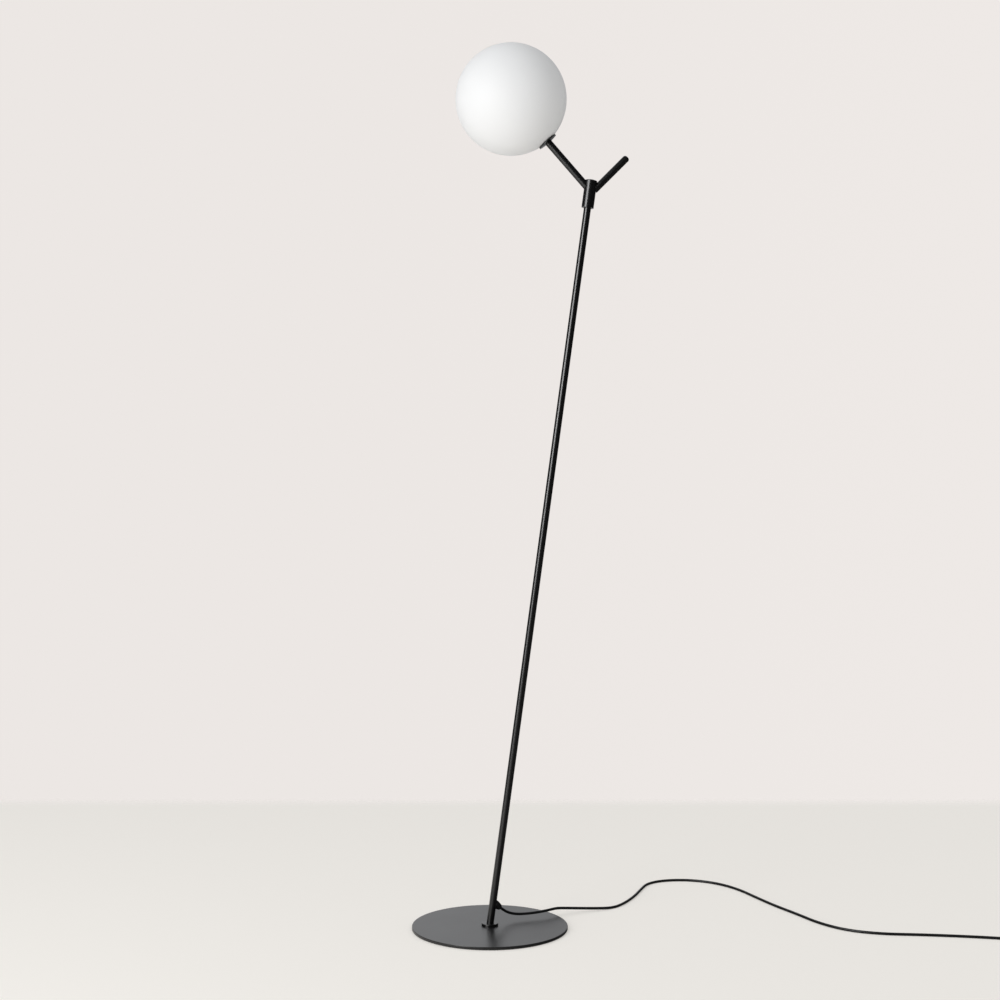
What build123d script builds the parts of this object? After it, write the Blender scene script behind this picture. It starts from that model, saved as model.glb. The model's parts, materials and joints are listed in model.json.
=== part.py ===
from build123d import *
import math
import os

# A globe floor lamp with a leaning pole: steel base, two-length pole, Y hub that swivels on the
# pole's top, long arm with an opal glass globe, short handle rod, and a mains lead with a foot
# switch and a flat plug.  Millimetres, +Z up, +X the way the pole leans, origin on the floor at
# the middle of the base.

os.makedirs("parts", exist_ok=True)

# ---------------------------------------------------------------- fits, as gaps on the radius
SEATED = 0.03  # pressed, screwed or glued together
RUNNING = 0.05  # turns or slides on its partner
CLEAR = 0.3  # passes its neighbour without touching

# ---------------------------------------------------------------- base
PAD_T = 1.0
PAD_INSET = 3.0
BASE_D = 280.0
BASE_T = 5.0
BASE_EDGE_R = 0.8
FLANGE_D = 30.0
FLANGE_T = 4.0
FLANGE_EDGE_R = 1.2
FLANGE_SCREW_D = 4.0
FLANGE_SCREW_PCD = 21.4
FLANGE_SCREW_COUNT = 3
FLANGE_SCREW_START = 180.0
FLANGE_SCREW_COVER = 0.8  # metal left above each blind hole
SCREW_HEAD_RATIO = 1.9  # countersunk head over shank
FLANGE_HEX = 2.5  # across flats
FLANGE_HEX_DEPTH = 1.4

# ---------------------------------------------------------------- pole
LEAN = 7.75  # degrees from upright
POLE_D = 13.0
POLE_WALL = 2.0
POLE_SPLIT = 643.0  # foot to the joint of the two lengths
HUB_START = 1302.0  # foot to the hub's lower end
THREAD_D = 10.0
THREAD_DEPTH = 15.0
JOINER_LEN = 28.0
JOINER_EDGE = 0.3
NIPPLE_BORE_D = 7.0

# ---------------------------------------------------------------- hub and swivel
HUB_D = 22.0
HUB_LEN = 52.0
HUB_DOME = 2.2
HUB_EDGE = 0.6
SWIVEL_DEPTH = 20.0  # how far the pole enters the hub
BUSH_WALL = 1.5
BUSH_INSET = 0.5
FERRULE_T = 1.0
FERRULE_STEM = 6.0
PASSAGE_D = 8.0  # way for the flex through the hub
GROOVE_RISE = 10.0  # hub's lower end to the groove
GROOVE_DEPTH = 0.9
SWIVEL_SCREW_D = 4.0
DOG_D = 2.5
GRUB_HEX = 2.0  # across flats
STOP_WEB = 20.0  # degrees of pole left standing in the groove

# ---------------------------------------------------------------- arms
ARM_ANGLE = 48.65  # degrees between pole and long arm
ARM_RISE = 32.1  # hub's lower end to the crossing of the axes
ARM_REACH = 216.6  # hub's axis to the globe's centre
ARM_SOCKET = 6.5  # hub's axis to the arm's inner end
ROD_ANGLE = 37.35
ROD_RISE = 23.0
ROD_D = 12.6
ROD_REACH = 97.2
ROD_SOCKET = 12.8
ROD_TIP_R = 4.6

# ---------------------------------------------------------------- globe and its holder
GLOBE_D = 200.0
GLASS_T = 3.0
NECK_BORE_D = 26.0
NECK_WALL = 2.6
NECK_DEPTH = 15.0
GLASS_LIP_R = 1.2
DISH_D = 38.0
DISH_T = 2.5
DISH_PAD_T = 0.9
GASKET_T = 0.5
GASKET_WIDTH = 2.4
COLLAR_WALL = 1.5
COLLAR_FLOOR = 1.5
NUT_ACROSS = 14.0
NUT_T = 3.0
BRACKET_T = 0.8
BRACKET_W = 8.0
BRACKET_RISE = 19.0
HOLDER_D = 18.0
HOLDER_LEN = 20.0
HOLDER_EDGE = 0.6
HOLDER_GAP = 1.5  # nipple's end to the lampholder
SLOT_PITCH = 9.0
SLOT_LONG = 4.2
SLOT_WIDE = 2.6
SLOT_DEPTH = 13.0
SLOT_CORNER = 0.85
CONTACT_T = 0.4
CONTACT_W = 2.4
HOLDER_SCREW_D = 3.0
HOLDER_SCREW_RISE = 15.0
HOLDER_HEAD_D = 4.8
HOLDER_HEAD_H = 1.2

# ---------------------------------------------------------------- bulb
BULB_BASE_D = 15.0
BULB_BASE_LEN = 13.0
BULB_D = 16.0
BULB_LEN = 40.0
BULB_WALL = 1.0
BULB_BASE_EDGE = 0.6
BULB_CORE_D = 7.0
PIN_WIRE_D = 0.9
PIN_LEN = 9.5
PIN_LOOP_W = 3.0

# ---------------------------------------------------------------- lead
CORD_D = 5.0
RELIEF_HEIGHT = 41.0  # foot to the relief's axis, along the pole
RELIEF_TURN = 50.0  # degrees from +X towards the back
RELIEF_DROOP = 33.0  # degrees below level
RELIEF_REACH = 21.0  # pole's axis to the relief's end
RELIEF_STEM_D = 7.4
RELIEF_STEM_START = 4.3
RELIEF_ROOT_D = 14.8
RELIEF_END_D = 11.2
RELIEF_COLLAR = 9.6
RELIEF_ROOT_START = 2.5
RELIEF_GROOVES = (0.18, 0.39, 0.60, 0.81)  # shares of the taper
RELIEF_GROOVE_W = 0.9
RELIEF_GROOVE_DEPTH = 0.8
FLEX_BEND_R = 6.0
ARM_FLEX_BEND_R = 12.0
FLEX_SPLIT = 24.0  # hub's lower end to the point where the flex twists
CORNER_SHARE = 0.45  # share of a run that its end's bend takes
LEAD_LIFT = 0.1  # gap under the lying lead
RELIEF_RUN = 12.0  # straight lead past the relief
SWITCH_RUN_IN = 31.0  # straight lead into the switch
SWITCH_RUN_OUT = 26.0
COIL_RUN_IN = 26.0
COIL_RUN_OUT = 25.5
PLUG_RUN = 30.0

# ---------------------------------------------------------------- foot switch
SWITCH_X = 1025.0
SWITCH_Y = 47.0
SWITCH_LEN = 78.0
SWITCH_W = 36.0
SWITCH_CORNER = 15.0
SWITCH_BASE_H = 6.0
SWITCH_COVER_H = 13.0
SWITCH_WALL = 2.0
SWITCH_DRAFT = 7.0
SWITCH_EDGE = 2.5
CORD_END_X = 30.0  # switch's middle to the end of each cord
CLAMP_X = 30.5
CLAMP_LEN = 5.0
CLAMP_T = 2.0
BUTTON_D = 20.0
BUTTON_PROUD = 4.0
BUTTON_TRAVEL = 3.0
BUTTON_SKIRT = 1.6
BUTTON_DISH = 0.8
BUTTON_WALL = 1.6
BUTTON_EDGE = 1.0
STEM_D = 5.0
BLOCK_LEN = 24.0
BLOCK_W = 16.0
BLOCK_H = 6.0
SPRING_D = 8.6
SPRING_WIRE = 0.8
SPRING_TURNS = 4.0
SWITCH_SCREW_D = 2.6
SWITCH_SCREW_HEAD = 1.2
SWITCH_SCREW_X = 22.0
SWITCH_SCREW_Y = 10.5

# ---------------------------------------------------------------- put-away coil and plug
COIL_X = 1066.0
COIL_Y = 165.0
COIL_INNER_R = 20.0
COIL_PITCH = 5.6
COIL_LAYER = 5.5
COIL_TURNS = 5.5
TIE_T = 0.6
TIE_W = 8.0
TIE_SLACK = 1.0
TIE_TURN = 0.25  # turns between the coil's end and the tie
COIL_SAMPLES = 15  # measured points on each arc
PLUG_X = 1102.5
PLUG_FACE_Y = 39.0
PLUG_W = 35.3
PLUG_SHOULDER_W = 14.0
PLUG_SHOULDER = 15.0
PLUG_T = 13.7
PLUG_LEN = 35.0
PLUG_EDGE = 3.0
PLUG_RELIEF_LEN = 22.0
PLUG_RELIEF_D = 11.0
PLUG_RELIEF_END_D = 7.6
PLUG_PIN_D = 4.0
PLUG_PIN_LEN = 19.0
PLUG_PIN_TIP_R = 1.2
PLUG_PIN_PITCH = 18.6
PLUG_CORE_D = 2.6
PLUG_SLEEVE_D = 3.6
PLUG_SLEEVE_LEN = 10.0

# ---------------------------------------------------------------- reference planes
floor = Plane.XY
plate_foot = floor.offset(PAD_T)
plate_top = plate_foot.offset(BASE_T)
foot = plate_top.rotated((0, LEAN, 0))
hub_foot = foot.offset(HUB_START)
arm_root = hub_foot.offset(ARM_RISE).rotated((0, -ARM_ANGLE, 0))
rod_root = hub_foot.offset(ROD_RISE).rotated((0, ROD_ANGLE, 0))

POLE_R = POLE_D / 2
POLE_BORE_R = POLE_R - POLE_WALL
GLOBE_R = GLOBE_D / 2
DISH_INNER_R = GLOBE_R + CLEAR + GASKET_T
DISH_OUTER_R = DISH_INNER_R + DISH_T
ARM_END = ARM_REACH - DISH_OUTER_R
seat = arm_root.offset(ARM_END)
globe_centre = arm_root.offset(ARM_REACH).origin


def side_view(plane):
    """Plane through another plane's axis, in which that axis points up."""
    return Plane(origin=plane.origin, x_dir=plane.x_dir, z_dir=-plane.y_dir)


def axis_of(plane):
    """Axis that stands on a plane at its origin."""
    return Axis(plane.origin, plane.z_dir)


def point_on(plane, along):
    """Point on a plane's axis."""
    return plane.offset(along).origin


def save(builder, name):
    """Label a finished piece and write it to its own file."""
    builder.part.label = name
    export_step(builder.part, f"parts/{name}.step")


# ================================================================ base
with BuildPart() as base_pad:
    with BuildSketch(floor):
        Circle(BASE_D / 2 - PAD_INSET)
    extrude(amount=PAD_T)
save(base_pad, "base_pad")

FLANGE_SCREW_R = FLANGE_SCREW_D / 2
SCREW_HEAD_R = FLANGE_SCREW_R * SCREW_HEAD_RATIO
SCREW_HEAD_H = SCREW_HEAD_R - FLANGE_SCREW_R
FLANGE_HOLE_DEPTH = FLANGE_T - FLANGE_SCREW_COVER

with BuildPart() as base_plate:
    with BuildSketch(plate_foot):
        Circle(BASE_D / 2)
    extrude(amount=BASE_T)
    fillet(base_plate.edges().group_by(Axis.Z)[-1], BASE_EDGE_R)
    fillet(base_plate.edges().group_by(Axis.Z)[0], BASE_EDGE_R / 2)
    with Locations(Plane(origin=plate_foot.origin, x_dir=(1, 0, 0), z_dir=(0, 0, -1))):
        with PolarLocations(FLANGE_SCREW_PCD / 2, FLANGE_SCREW_COUNT, FLANGE_SCREW_START):
            CounterSinkHole(
                FLANGE_SCREW_R + SEATED, SCREW_HEAD_R + SEATED, counter_sink_angle=90
            )
save(base_plate, "base_plate")

with BuildPart() as foot_flange:
    with BuildSketch(plate_top):
        Circle(FLANGE_D / 2)
    extrude(amount=FLANGE_T)
    fillet(foot_flange.edges().group_by(Axis.Z)[-1], FLANGE_EDGE_R)
    with BuildSketch(foot):
        Circle(POLE_R + SEATED)
    extrude(amount=2 * FLANGE_T, both=True, mode=Mode.SUBTRACT)
    with BuildSketch(plate_top):
        with PolarLocations(FLANGE_SCREW_PCD / 2, FLANGE_SCREW_COUNT, FLANGE_SCREW_START):
            Circle(FLANGE_SCREW_R + SEATED)
    extrude(amount=FLANGE_HOLE_DEPTH, mode=Mode.SUBTRACT)
save(foot_flange, "foot_flange")

with BuildPart() as flange_screws:
    with BuildSketch(plate_foot):
        with PolarLocations(FLANGE_SCREW_PCD / 2, FLANGE_SCREW_COUNT, FLANGE_SCREW_START):
            Circle(SCREW_HEAD_R)
    extrude(amount=SCREW_HEAD_H, taper=45)
    with BuildSketch(plate_foot.offset(SCREW_HEAD_H)):
        with PolarLocations(FLANGE_SCREW_PCD / 2, FLANGE_SCREW_COUNT, FLANGE_SCREW_START):
            Circle(FLANGE_SCREW_R)
    extrude(amount=BASE_T - SCREW_HEAD_H + FLANGE_HOLE_DEPTH - SEATED)
    with BuildSketch(plate_foot):
        with PolarLocations(FLANGE_SCREW_PCD / 2, FLANGE_SCREW_COUNT, FLANGE_SCREW_START):
            RegularPolygon(FLANGE_HEX / 2, 6, major_radius=False)
    extrude(amount=FLANGE_HEX_DEPTH, mode=Mode.SUBTRACT)
save(flange_screws, "flange_screws")

# ================================================================ pole
relief_point = point_on(foot, RELIEF_HEIGHT)
relief_out = Vector(
    math.cos(math.radians(RELIEF_DROOP)) * math.cos(math.radians(RELIEF_TURN)),
    math.cos(math.radians(RELIEF_DROOP)) * math.sin(math.radians(RELIEF_TURN)),
    -math.sin(math.radians(RELIEF_DROOP)),
)
relief_root = Plane(origin=relief_point, z_dir=relief_out)

with BuildPart() as pole_lower:
    with BuildSketch(foot.offset(-POLE_D)):
        Circle(POLE_R)
        Circle(POLE_BORE_R, mode=Mode.SUBTRACT)
    extrude(amount=POLE_SPLIT + POLE_D)
    split(bisect_by=plate_top, keep=Keep.TOP)
    with BuildSketch(foot.offset(POLE_SPLIT - THREAD_DEPTH)):
        Circle(THREAD_D / 2)
    extrude(amount=THREAD_DEPTH, mode=Mode.SUBTRACT)
    with BuildSketch(relief_root):
        Circle(RELIEF_STEM_D / 2 + SEATED)
    extrude(amount=POLE_D, mode=Mode.SUBTRACT)
save(pole_lower, "pole_lower")

with BuildPart() as pole_joiner:
    with BuildSketch(foot.offset(POLE_SPLIT - JOINER_LEN / 2)):
        Circle(THREAD_D / 2 - SEATED)
        Circle(NIPPLE_BORE_D / 2, mode=Mode.SUBTRACT)
    extrude(amount=JOINER_LEN)
    chamfer(pole_joiner.edges().filter_by(GeomType.CIRCLE), JOINER_EDGE)
save(pole_joiner, "pole_joiner")

groove_plane = foot.offset(HUB_START + GROOVE_RISE)
GROOVE_W = DOG_D + 2 * CLEAR
groove_start = Plane(groove_plane.location * Rotation(0, 0, STOP_WEB / 2 - 90))

with BuildPart() as pole_upper:
    with BuildSketch(foot.offset(POLE_SPLIT)):
        Circle(POLE_R)
        Circle(POLE_BORE_R, mode=Mode.SUBTRACT)
    extrude(amount=HUB_START + SWIVEL_DEPTH - POLE_SPLIT)
    with BuildSketch(foot.offset(POLE_SPLIT)):
        Circle(THREAD_D / 2)
    extrude(amount=THREAD_DEPTH, mode=Mode.SUBTRACT)
    with BuildSketch(side_view(groove_start)):
        with Locations((POLE_R, 0)):
            Rectangle(2 * GROOVE_DEPTH, GROOVE_W)
    revolve(axis=axis_of(groove_plane), revolution_arc=360 - STOP_WEB, mode=Mode.SUBTRACT)
save(pole_upper, "pole_upper")

# ================================================================ swivel
ferrule_plane = hub_foot.offset(SWIVEL_DEPTH)
SHOULDER = SWIVEL_DEPTH + FERRULE_T + RUNNING
BUSH_R = POLE_R + RUNNING + BUSH_WALL

with BuildPart() as swivel_ferrule:
    with BuildSketch(ferrule_plane):
        Circle(POLE_R - CLEAR)
    extrude(amount=FERRULE_T)
    with BuildSketch(ferrule_plane):
        Circle(POLE_BORE_R - SEATED)
    extrude(amount=-FERRULE_STEM)
    with BuildSketch(ferrule_plane.offset(-FERRULE_STEM)):
        Circle(CORD_D / 2 + CLEAR)
    extrude(amount=FERRULE_STEM + FERRULE_T, mode=Mode.SUBTRACT)
save(swivel_ferrule, "swivel_ferrule")

screw_plane = Plane(
    origin=groove_plane.origin, x_dir=hub_foot.z_dir, z_dir=hub_foot.y_dir
)

with BuildPart() as swivel_bush:
    with BuildSketch(hub_foot.offset(BUSH_INSET)):
        Circle(BUSH_R)
        Circle(POLE_R + RUNNING, mode=Mode.SUBTRACT)
    extrude(amount=SWIVEL_DEPTH)
    with BuildSketch(screw_plane):
        Circle(SWIVEL_SCREW_D / 2 + CLEAR)
    extrude(amount=HUB_D, mode=Mode.SUBTRACT)
save(swivel_bush, "swivel_bush")

DOG_TIP = POLE_R - GROOVE_DEPTH + CLEAR / 2
DOG_SHOULDER = POLE_R + CLEAR
SCREW_END = HUB_D / 2 - CLEAR

with BuildPart() as swivel_screw:
    with BuildSketch(screw_plane.offset(DOG_TIP)):
        Circle(DOG_D / 2)
    extrude(amount=DOG_SHOULDER - DOG_TIP)
    with BuildSketch(screw_plane.offset(DOG_SHOULDER)):
        Circle(SWIVEL_SCREW_D / 2)
    extrude(amount=SCREW_END - DOG_SHOULDER)
    with BuildSketch(screw_plane.offset(SCREW_END)):
        RegularPolygon(GRUB_HEX / 2, 6, major_radius=False)
    extrude(amount=-SWIVEL_SCREW_D / 2, mode=Mode.SUBTRACT)
save(swivel_screw, "swivel_screw")

# The hub is turned with a domed top, bored from below for the bush, and has two angled sockets:
# the arm's meets the flex's passage, the rod's is blind.
with BuildPart() as hub:
    with BuildSketch(side_view(hub_foot)):
        with BuildLine():
            Polyline((0, HUB_LEN), (0, 0), (HUB_D / 2, 0), (HUB_D / 2, HUB_LEN - HUB_DOME))
            TangentArc((0, HUB_LEN), (HUB_D / 2, HUB_LEN - HUB_DOME), tangent=(1, 0))
        make_face()
    revolve(axis=axis_of(hub_foot))
    fillet(hub.edges().filter_by(lambda edge: edge.is_closed), HUB_EDGE)
    with BuildSketch(hub_foot):
        Circle(BUSH_R + SEATED)
    extrude(amount=SHOULDER, mode=Mode.SUBTRACT)
    with BuildSketch(hub_foot):
        Circle(PASSAGE_D / 2)
    extrude(amount=ARM_RISE, mode=Mode.SUBTRACT)
    with Locations(arm_root):
        Sphere(PASSAGE_D / 2, mode=Mode.SUBTRACT)
    with BuildSketch(arm_root):
        Circle(PASSAGE_D / 2)
    extrude(amount=HUB_D, mode=Mode.SUBTRACT)
    with BuildSketch(arm_root.offset(ARM_SOCKET)):
        Circle(POLE_R + SEATED)
    extrude(amount=HUB_LEN, mode=Mode.SUBTRACT)
    with BuildSketch(rod_root.offset(ROD_SOCKET)):
        Circle(ROD_D / 2 + SEATED)
    extrude(amount=HUB_LEN, mode=Mode.SUBTRACT)
    with BuildSketch(screw_plane):
        Circle(SWIVEL_SCREW_D / 2 + SEATED)
    extrude(amount=HUB_D, mode=Mode.SUBTRACT)
save(hub, "hub")

# ================================================================ arms
with BuildPart() as long_arm:
    with BuildSketch(arm_root.offset(ARM_SOCKET + SEATED)):
        Circle(POLE_R)
        Circle(POLE_BORE_R, mode=Mode.SUBTRACT)
    extrude(amount=ARM_END - ARM_SOCKET - SEATED)
    with BuildSketch(seat):
        Circle(THREAD_D / 2)
    extrude(amount=-THREAD_DEPTH, mode=Mode.SUBTRACT)
save(long_arm, "long_arm")

with BuildPart() as handle_rod:
    with BuildSketch(rod_root.offset(ROD_SOCKET + SEATED)):
        Circle(ROD_D / 2)
    extrude(amount=ROD_REACH - ROD_SOCKET - SEATED)
    fillet(handle_rod.edges().sort_by(axis_of(rod_root))[-1], ROD_TIP_R)
save(handle_rod, "handle_rod")

# ================================================================ globe's holder
# Heights are above the seat plane, along the arm's axis towards the globe's centre.


def sphere_height(radius, out):
    """Height at which a sphere about the globe's centre lies, a distance out from the axis."""
    return DISH_OUTER_R - math.sqrt(radius**2 - out**2)


NECK_BORE_R = NECK_BORE_D / 2
NECK_OUTER_R = NECK_BORE_R + NECK_WALL
COLLAR_R = NECK_BORE_R - CLEAR
PAD_R = COLLAR_R + CLEAR / 2
PAD_TOP = sphere_height(DISH_INNER_R, PAD_R)
COLLAR_TOP = sphere_height(GLOBE_R, NECK_BORE_R) + NECK_DEPTH - GLASS_LIP_R
FLOOR_TOP = PAD_TOP + COLLAR_FLOOR
NUT_FOOT = FLOOR_TOP + BRACKET_T
NIPPLE_TOP = NUT_FOOT + NUT_T + GLASS_LIP_R
HOLDER_FOOT = NIPPLE_TOP + HOLDER_GAP
HOLDER_TOP = HOLDER_FOOT + HOLDER_LEN
EAR_OUTER = HOLDER_D / 2 + BRACKET_T

with BuildPart() as globe_dish:
    hole_r = THREAD_D / 2 + SEATED
    rim_r = DISH_D / 2
    rim_in = rim_r * DISH_INNER_R / DISH_OUTER_R
    mid_r = rim_r / 2
    with BuildSketch(side_view(seat)):
        with BuildLine():
            ThreePointArc(
                (hole_r, sphere_height(DISH_OUTER_R, hole_r)),
                (mid_r, sphere_height(DISH_OUTER_R, mid_r)),
                (rim_r, sphere_height(DISH_OUTER_R, rim_r)),
            )
            Line(
                (rim_r, sphere_height(DISH_OUTER_R, rim_r)),
                (rim_in, sphere_height(DISH_INNER_R, rim_in)),
            )
            ThreePointArc(
                (rim_in, sphere_height(DISH_INNER_R, rim_in)),
                (mid_r, sphere_height(DISH_INNER_R, mid_r)),
                (hole_r, sphere_height(DISH_INNER_R, hole_r)),
            )
            Line(
                (hole_r, sphere_height(DISH_INNER_R, hole_r)),
                (hole_r, sphere_height(DISH_OUTER_R, hole_r)),
            )
        make_face()
    revolve(axis=axis_of(seat))
    with BuildSketch(seat):
        Circle(POLE_R)
        Circle(hole_r, mode=Mode.SUBTRACT)
    extrude(amount=DISH_PAD_T)
    with BuildSketch(seat.offset(PAD_TOP)):
        Circle(PAD_R)
        Circle(hole_r, mode=Mode.SUBTRACT)
    extrude(amount=-DISH_PAD_T)
save(globe_dish, "globe_dish")

with BuildPart() as dish_gasket:
    gasket_out = rim_in - CLEAR
    gasket_in = gasket_out - GASKET_WIDTH
    gasket_mid = (gasket_out + gasket_in) / 2
    with BuildSketch(side_view(seat)):
        with BuildLine():
            ThreePointArc(
                (gasket_in, sphere_height(DISH_INNER_R, gasket_in)),
                (gasket_mid, sphere_height(DISH_INNER_R, gasket_mid)),
                (gasket_out, sphere_height(DISH_INNER_R, gasket_out)),
            )
            Line(
                (gasket_out, sphere_height(DISH_INNER_R, gasket_out)),
                (gasket_out, sphere_height(GLOBE_R + CLEAR, gasket_out)),
            )
            ThreePointArc(
                (gasket_out, sphere_height(GLOBE_R + CLEAR, gasket_out)),
                (gasket_mid, sphere_height(GLOBE_R + CLEAR, gasket_mid)),
                (gasket_in, sphere_height(GLOBE_R + CLEAR, gasket_in)),
            )
            Line(
                (gasket_in, sphere_height(GLOBE_R + CLEAR, gasket_in)),
                (gasket_in, sphere_height(DISH_INNER_R, gasket_in)),
            )
        make_face()
    revolve(axis=axis_of(seat))
save(dish_gasket, "dish_gasket")

with BuildPart() as arm_nipple:
    with BuildSketch(seat.offset(-THREAD_DEPTH + CLEAR)):
        Circle(THREAD_D / 2 - SEATED)
        Circle(NIPPLE_BORE_D / 2, mode=Mode.SUBTRACT)
    extrude(amount=THREAD_DEPTH - CLEAR + NIPPLE_TOP)
save(arm_nipple, "arm_nipple")

with BuildPart() as globe_collar:
    with BuildSketch(seat.offset(PAD_TOP)):
        Circle(COLLAR_R)
    extrude(amount=COLLAR_TOP - PAD_TOP)
    chamfer(globe_collar.edges().sort_by(axis_of(seat))[-1], COLLAR_WALL / 2)
    with BuildSketch(seat.offset(FLOOR_TOP)):
        Circle(COLLAR_R - COLLAR_WALL)
    extrude(amount=COLLAR_TOP, mode=Mode.SUBTRACT)
    with BuildSketch(seat):
        Circle(THREAD_D / 2)
    extrude(amount=COLLAR_TOP, mode=Mode.SUBTRACT)
save(globe_collar, "globe_collar")

with BuildPart() as lock_nut:
    with BuildSketch(seat.offset(NUT_FOOT)):
        RegularPolygon(NUT_ACROSS / 2, 6, major_radius=False)
        Circle(THREAD_D / 2, mode=Mode.SUBTRACT)
    extrude(amount=NUT_T)
save(lock_nut, "lock_nut")

holder_screw_plane = Plane(
    origin=point_on(seat, HOLDER_SCREW_RISE + FLOOR_TOP), z_dir=seat.x_dir
)

# A strip bent into a U: its middle is clamped under the nut, its ears hold the lampholder.
with BuildPart() as holder_bracket:
    with BuildSketch(seat.offset(FLOOR_TOP)):
        Rectangle(2 * EAR_OUTER, BRACKET_W)
        Circle(NUT_ACROSS / 2)
        Circle(THREAD_D / 2, mode=Mode.SUBTRACT)
    extrude(amount=BRACKET_T)
    with BuildSketch(seat.offset(FLOOR_TOP)):
        with Locations((EAR_OUTER - BRACKET_T / 2, 0), (BRACKET_T / 2 - EAR_OUTER, 0)):
            Rectangle(BRACKET_T - SEATED, BRACKET_W)
    extrude(amount=BRACKET_RISE)
    with BuildSketch(holder_screw_plane):
        Circle(HOLDER_SCREW_D / 2 + SEATED)
    extrude(amount=2 * EAR_OUTER, both=True, mode=Mode.SUBTRACT)
save(holder_bracket, "holder_bracket")

with BuildPart() as lampholder:
    with BuildSketch(seat.offset(HOLDER_FOOT)):
        Circle(HOLDER_D / 2)
    extrude(amount=HOLDER_LEN)
    chamfer(lampholder.edges().filter_by(GeomType.CIRCLE), HOLDER_EDGE)
    with BuildSketch(seat.offset(HOLDER_TOP)):
        with Locations((0, SLOT_PITCH / 2), (0, -SLOT_PITCH / 2)):
            RectangleRounded(SLOT_LONG, SLOT_WIDE, SLOT_CORNER)
    extrude(amount=-SLOT_DEPTH, mode=Mode.SUBTRACT)
    for side in (1, -1):
        with BuildSketch(holder_screw_plane.offset(side * HOLDER_D / 2)):
            Circle(HOLDER_SCREW_D / 2 + SEATED)
        extrude(amount=-side * HOLDER_SCREW_D, mode=Mode.SUBTRACT)
save(lampholder, "lampholder")

with BuildPart() as holder_screws:
    for side in (1, -1):
        with BuildSketch(holder_screw_plane.offset(side * EAR_OUTER)):
            Circle(HOLDER_SCREW_D / 2)
        extrude(amount=-side * (HOLDER_SCREW_D - CLEAR + BRACKET_T))
        with BuildSketch(holder_screw_plane.offset(side * EAR_OUTER)):
            Circle(HOLDER_HEAD_D / 2)
        extrude(amount=side * HOLDER_HEAD_H)
save(holder_screws, "holder_screws")

# One leaf spring lies along a long wall of each slot.
with BuildPart() as lampholder_contacts:
    with BuildSketch(seat.offset(HOLDER_TOP - SLOT_DEPTH)):
        for side in (1, -1):
            with Locations((0, side * (SLOT_PITCH + SLOT_WIDE - CONTACT_T) / 2 - side * SEATED)):
                Rectangle(CONTACT_W, CONTACT_T)
    extrude(amount=SLOT_DEPTH - CLEAR)
save(lampholder_contacts, "lampholder_contacts")

# ================================================================ globe
INNER_R = GLOBE_R - GLASS_T
NECK_END = sphere_height(GLOBE_R, NECK_BORE_R) + NECK_DEPTH

with BuildPart() as globe_glass:
    with BuildSketch(side_view(seat)) as glass_profile:
        with BuildLine():
            ThreePointArc(
                (0, DISH_OUTER_R + GLOBE_R),
                (GLOBE_R, DISH_OUTER_R),
                (NECK_BORE_R, sphere_height(GLOBE_R, NECK_BORE_R)),
            )
            Line(
                (NECK_BORE_R, sphere_height(GLOBE_R, NECK_BORE_R)), (NECK_BORE_R, NECK_END)
            )
            Line((NECK_BORE_R, NECK_END), (NECK_OUTER_R, NECK_END))
            Line(
                (NECK_OUTER_R, NECK_END), (NECK_OUTER_R, sphere_height(INNER_R, NECK_OUTER_R))
            )
            ThreePointArc(
                (NECK_OUTER_R, sphere_height(INNER_R, NECK_OUTER_R)),
                (INNER_R, DISH_OUTER_R),
                (0, DISH_OUTER_R + INNER_R),
            )
            Line((0, DISH_OUTER_R + INNER_R), (0, DISH_OUTER_R + GLOBE_R))
        make_face()
        fillet(
            glass_profile.vertices().filter_by(lambda v: NECK_BORE_R - CLEAR < v.X < GLOBE_R / 2),
            GLASS_LIP_R,
        )
    revolve(axis=axis_of(seat))
save(globe_glass, "globe_glass")

# ================================================================ bulb
BULB_FOOT = HOLDER_TOP + CLEAR
ENVELOPE_FOOT = BULB_FOOT + BULB_BASE_LEN

with BuildPart() as bulb_base:
    with BuildSketch(seat.offset(BULB_FOOT)):
        Circle(BULB_BASE_D / 2)
    extrude(amount=BULB_BASE_LEN)
    chamfer(bulb_base.edges().sort_by(axis_of(seat))[0], BULB_BASE_EDGE)
save(bulb_base, "bulb_base")

with BuildPart() as bulb_envelope:
    with BuildSketch(seat.offset(ENVELOPE_FOOT)):
        Circle(BULB_D / 2)
    extrude(amount=BULB_LEN)
    fillet(bulb_envelope.edges().sort_by(axis_of(seat))[-1], BULB_D / 2 - 2 * BULB_WALL)
    offset(amount=-BULB_WALL, openings=bulb_envelope.faces().sort_by(axis_of(seat))[0])
save(bulb_envelope, "bulb_envelope")

with BuildPart() as bulb_core:
    with BuildSketch(seat.offset(ENVELOPE_FOOT)):
        RegularPolygon(BULB_CORE_D / 2, 6)
    extrude(amount=BULB_LEN - BULB_D)
save(bulb_core, "bulb_core")

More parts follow.
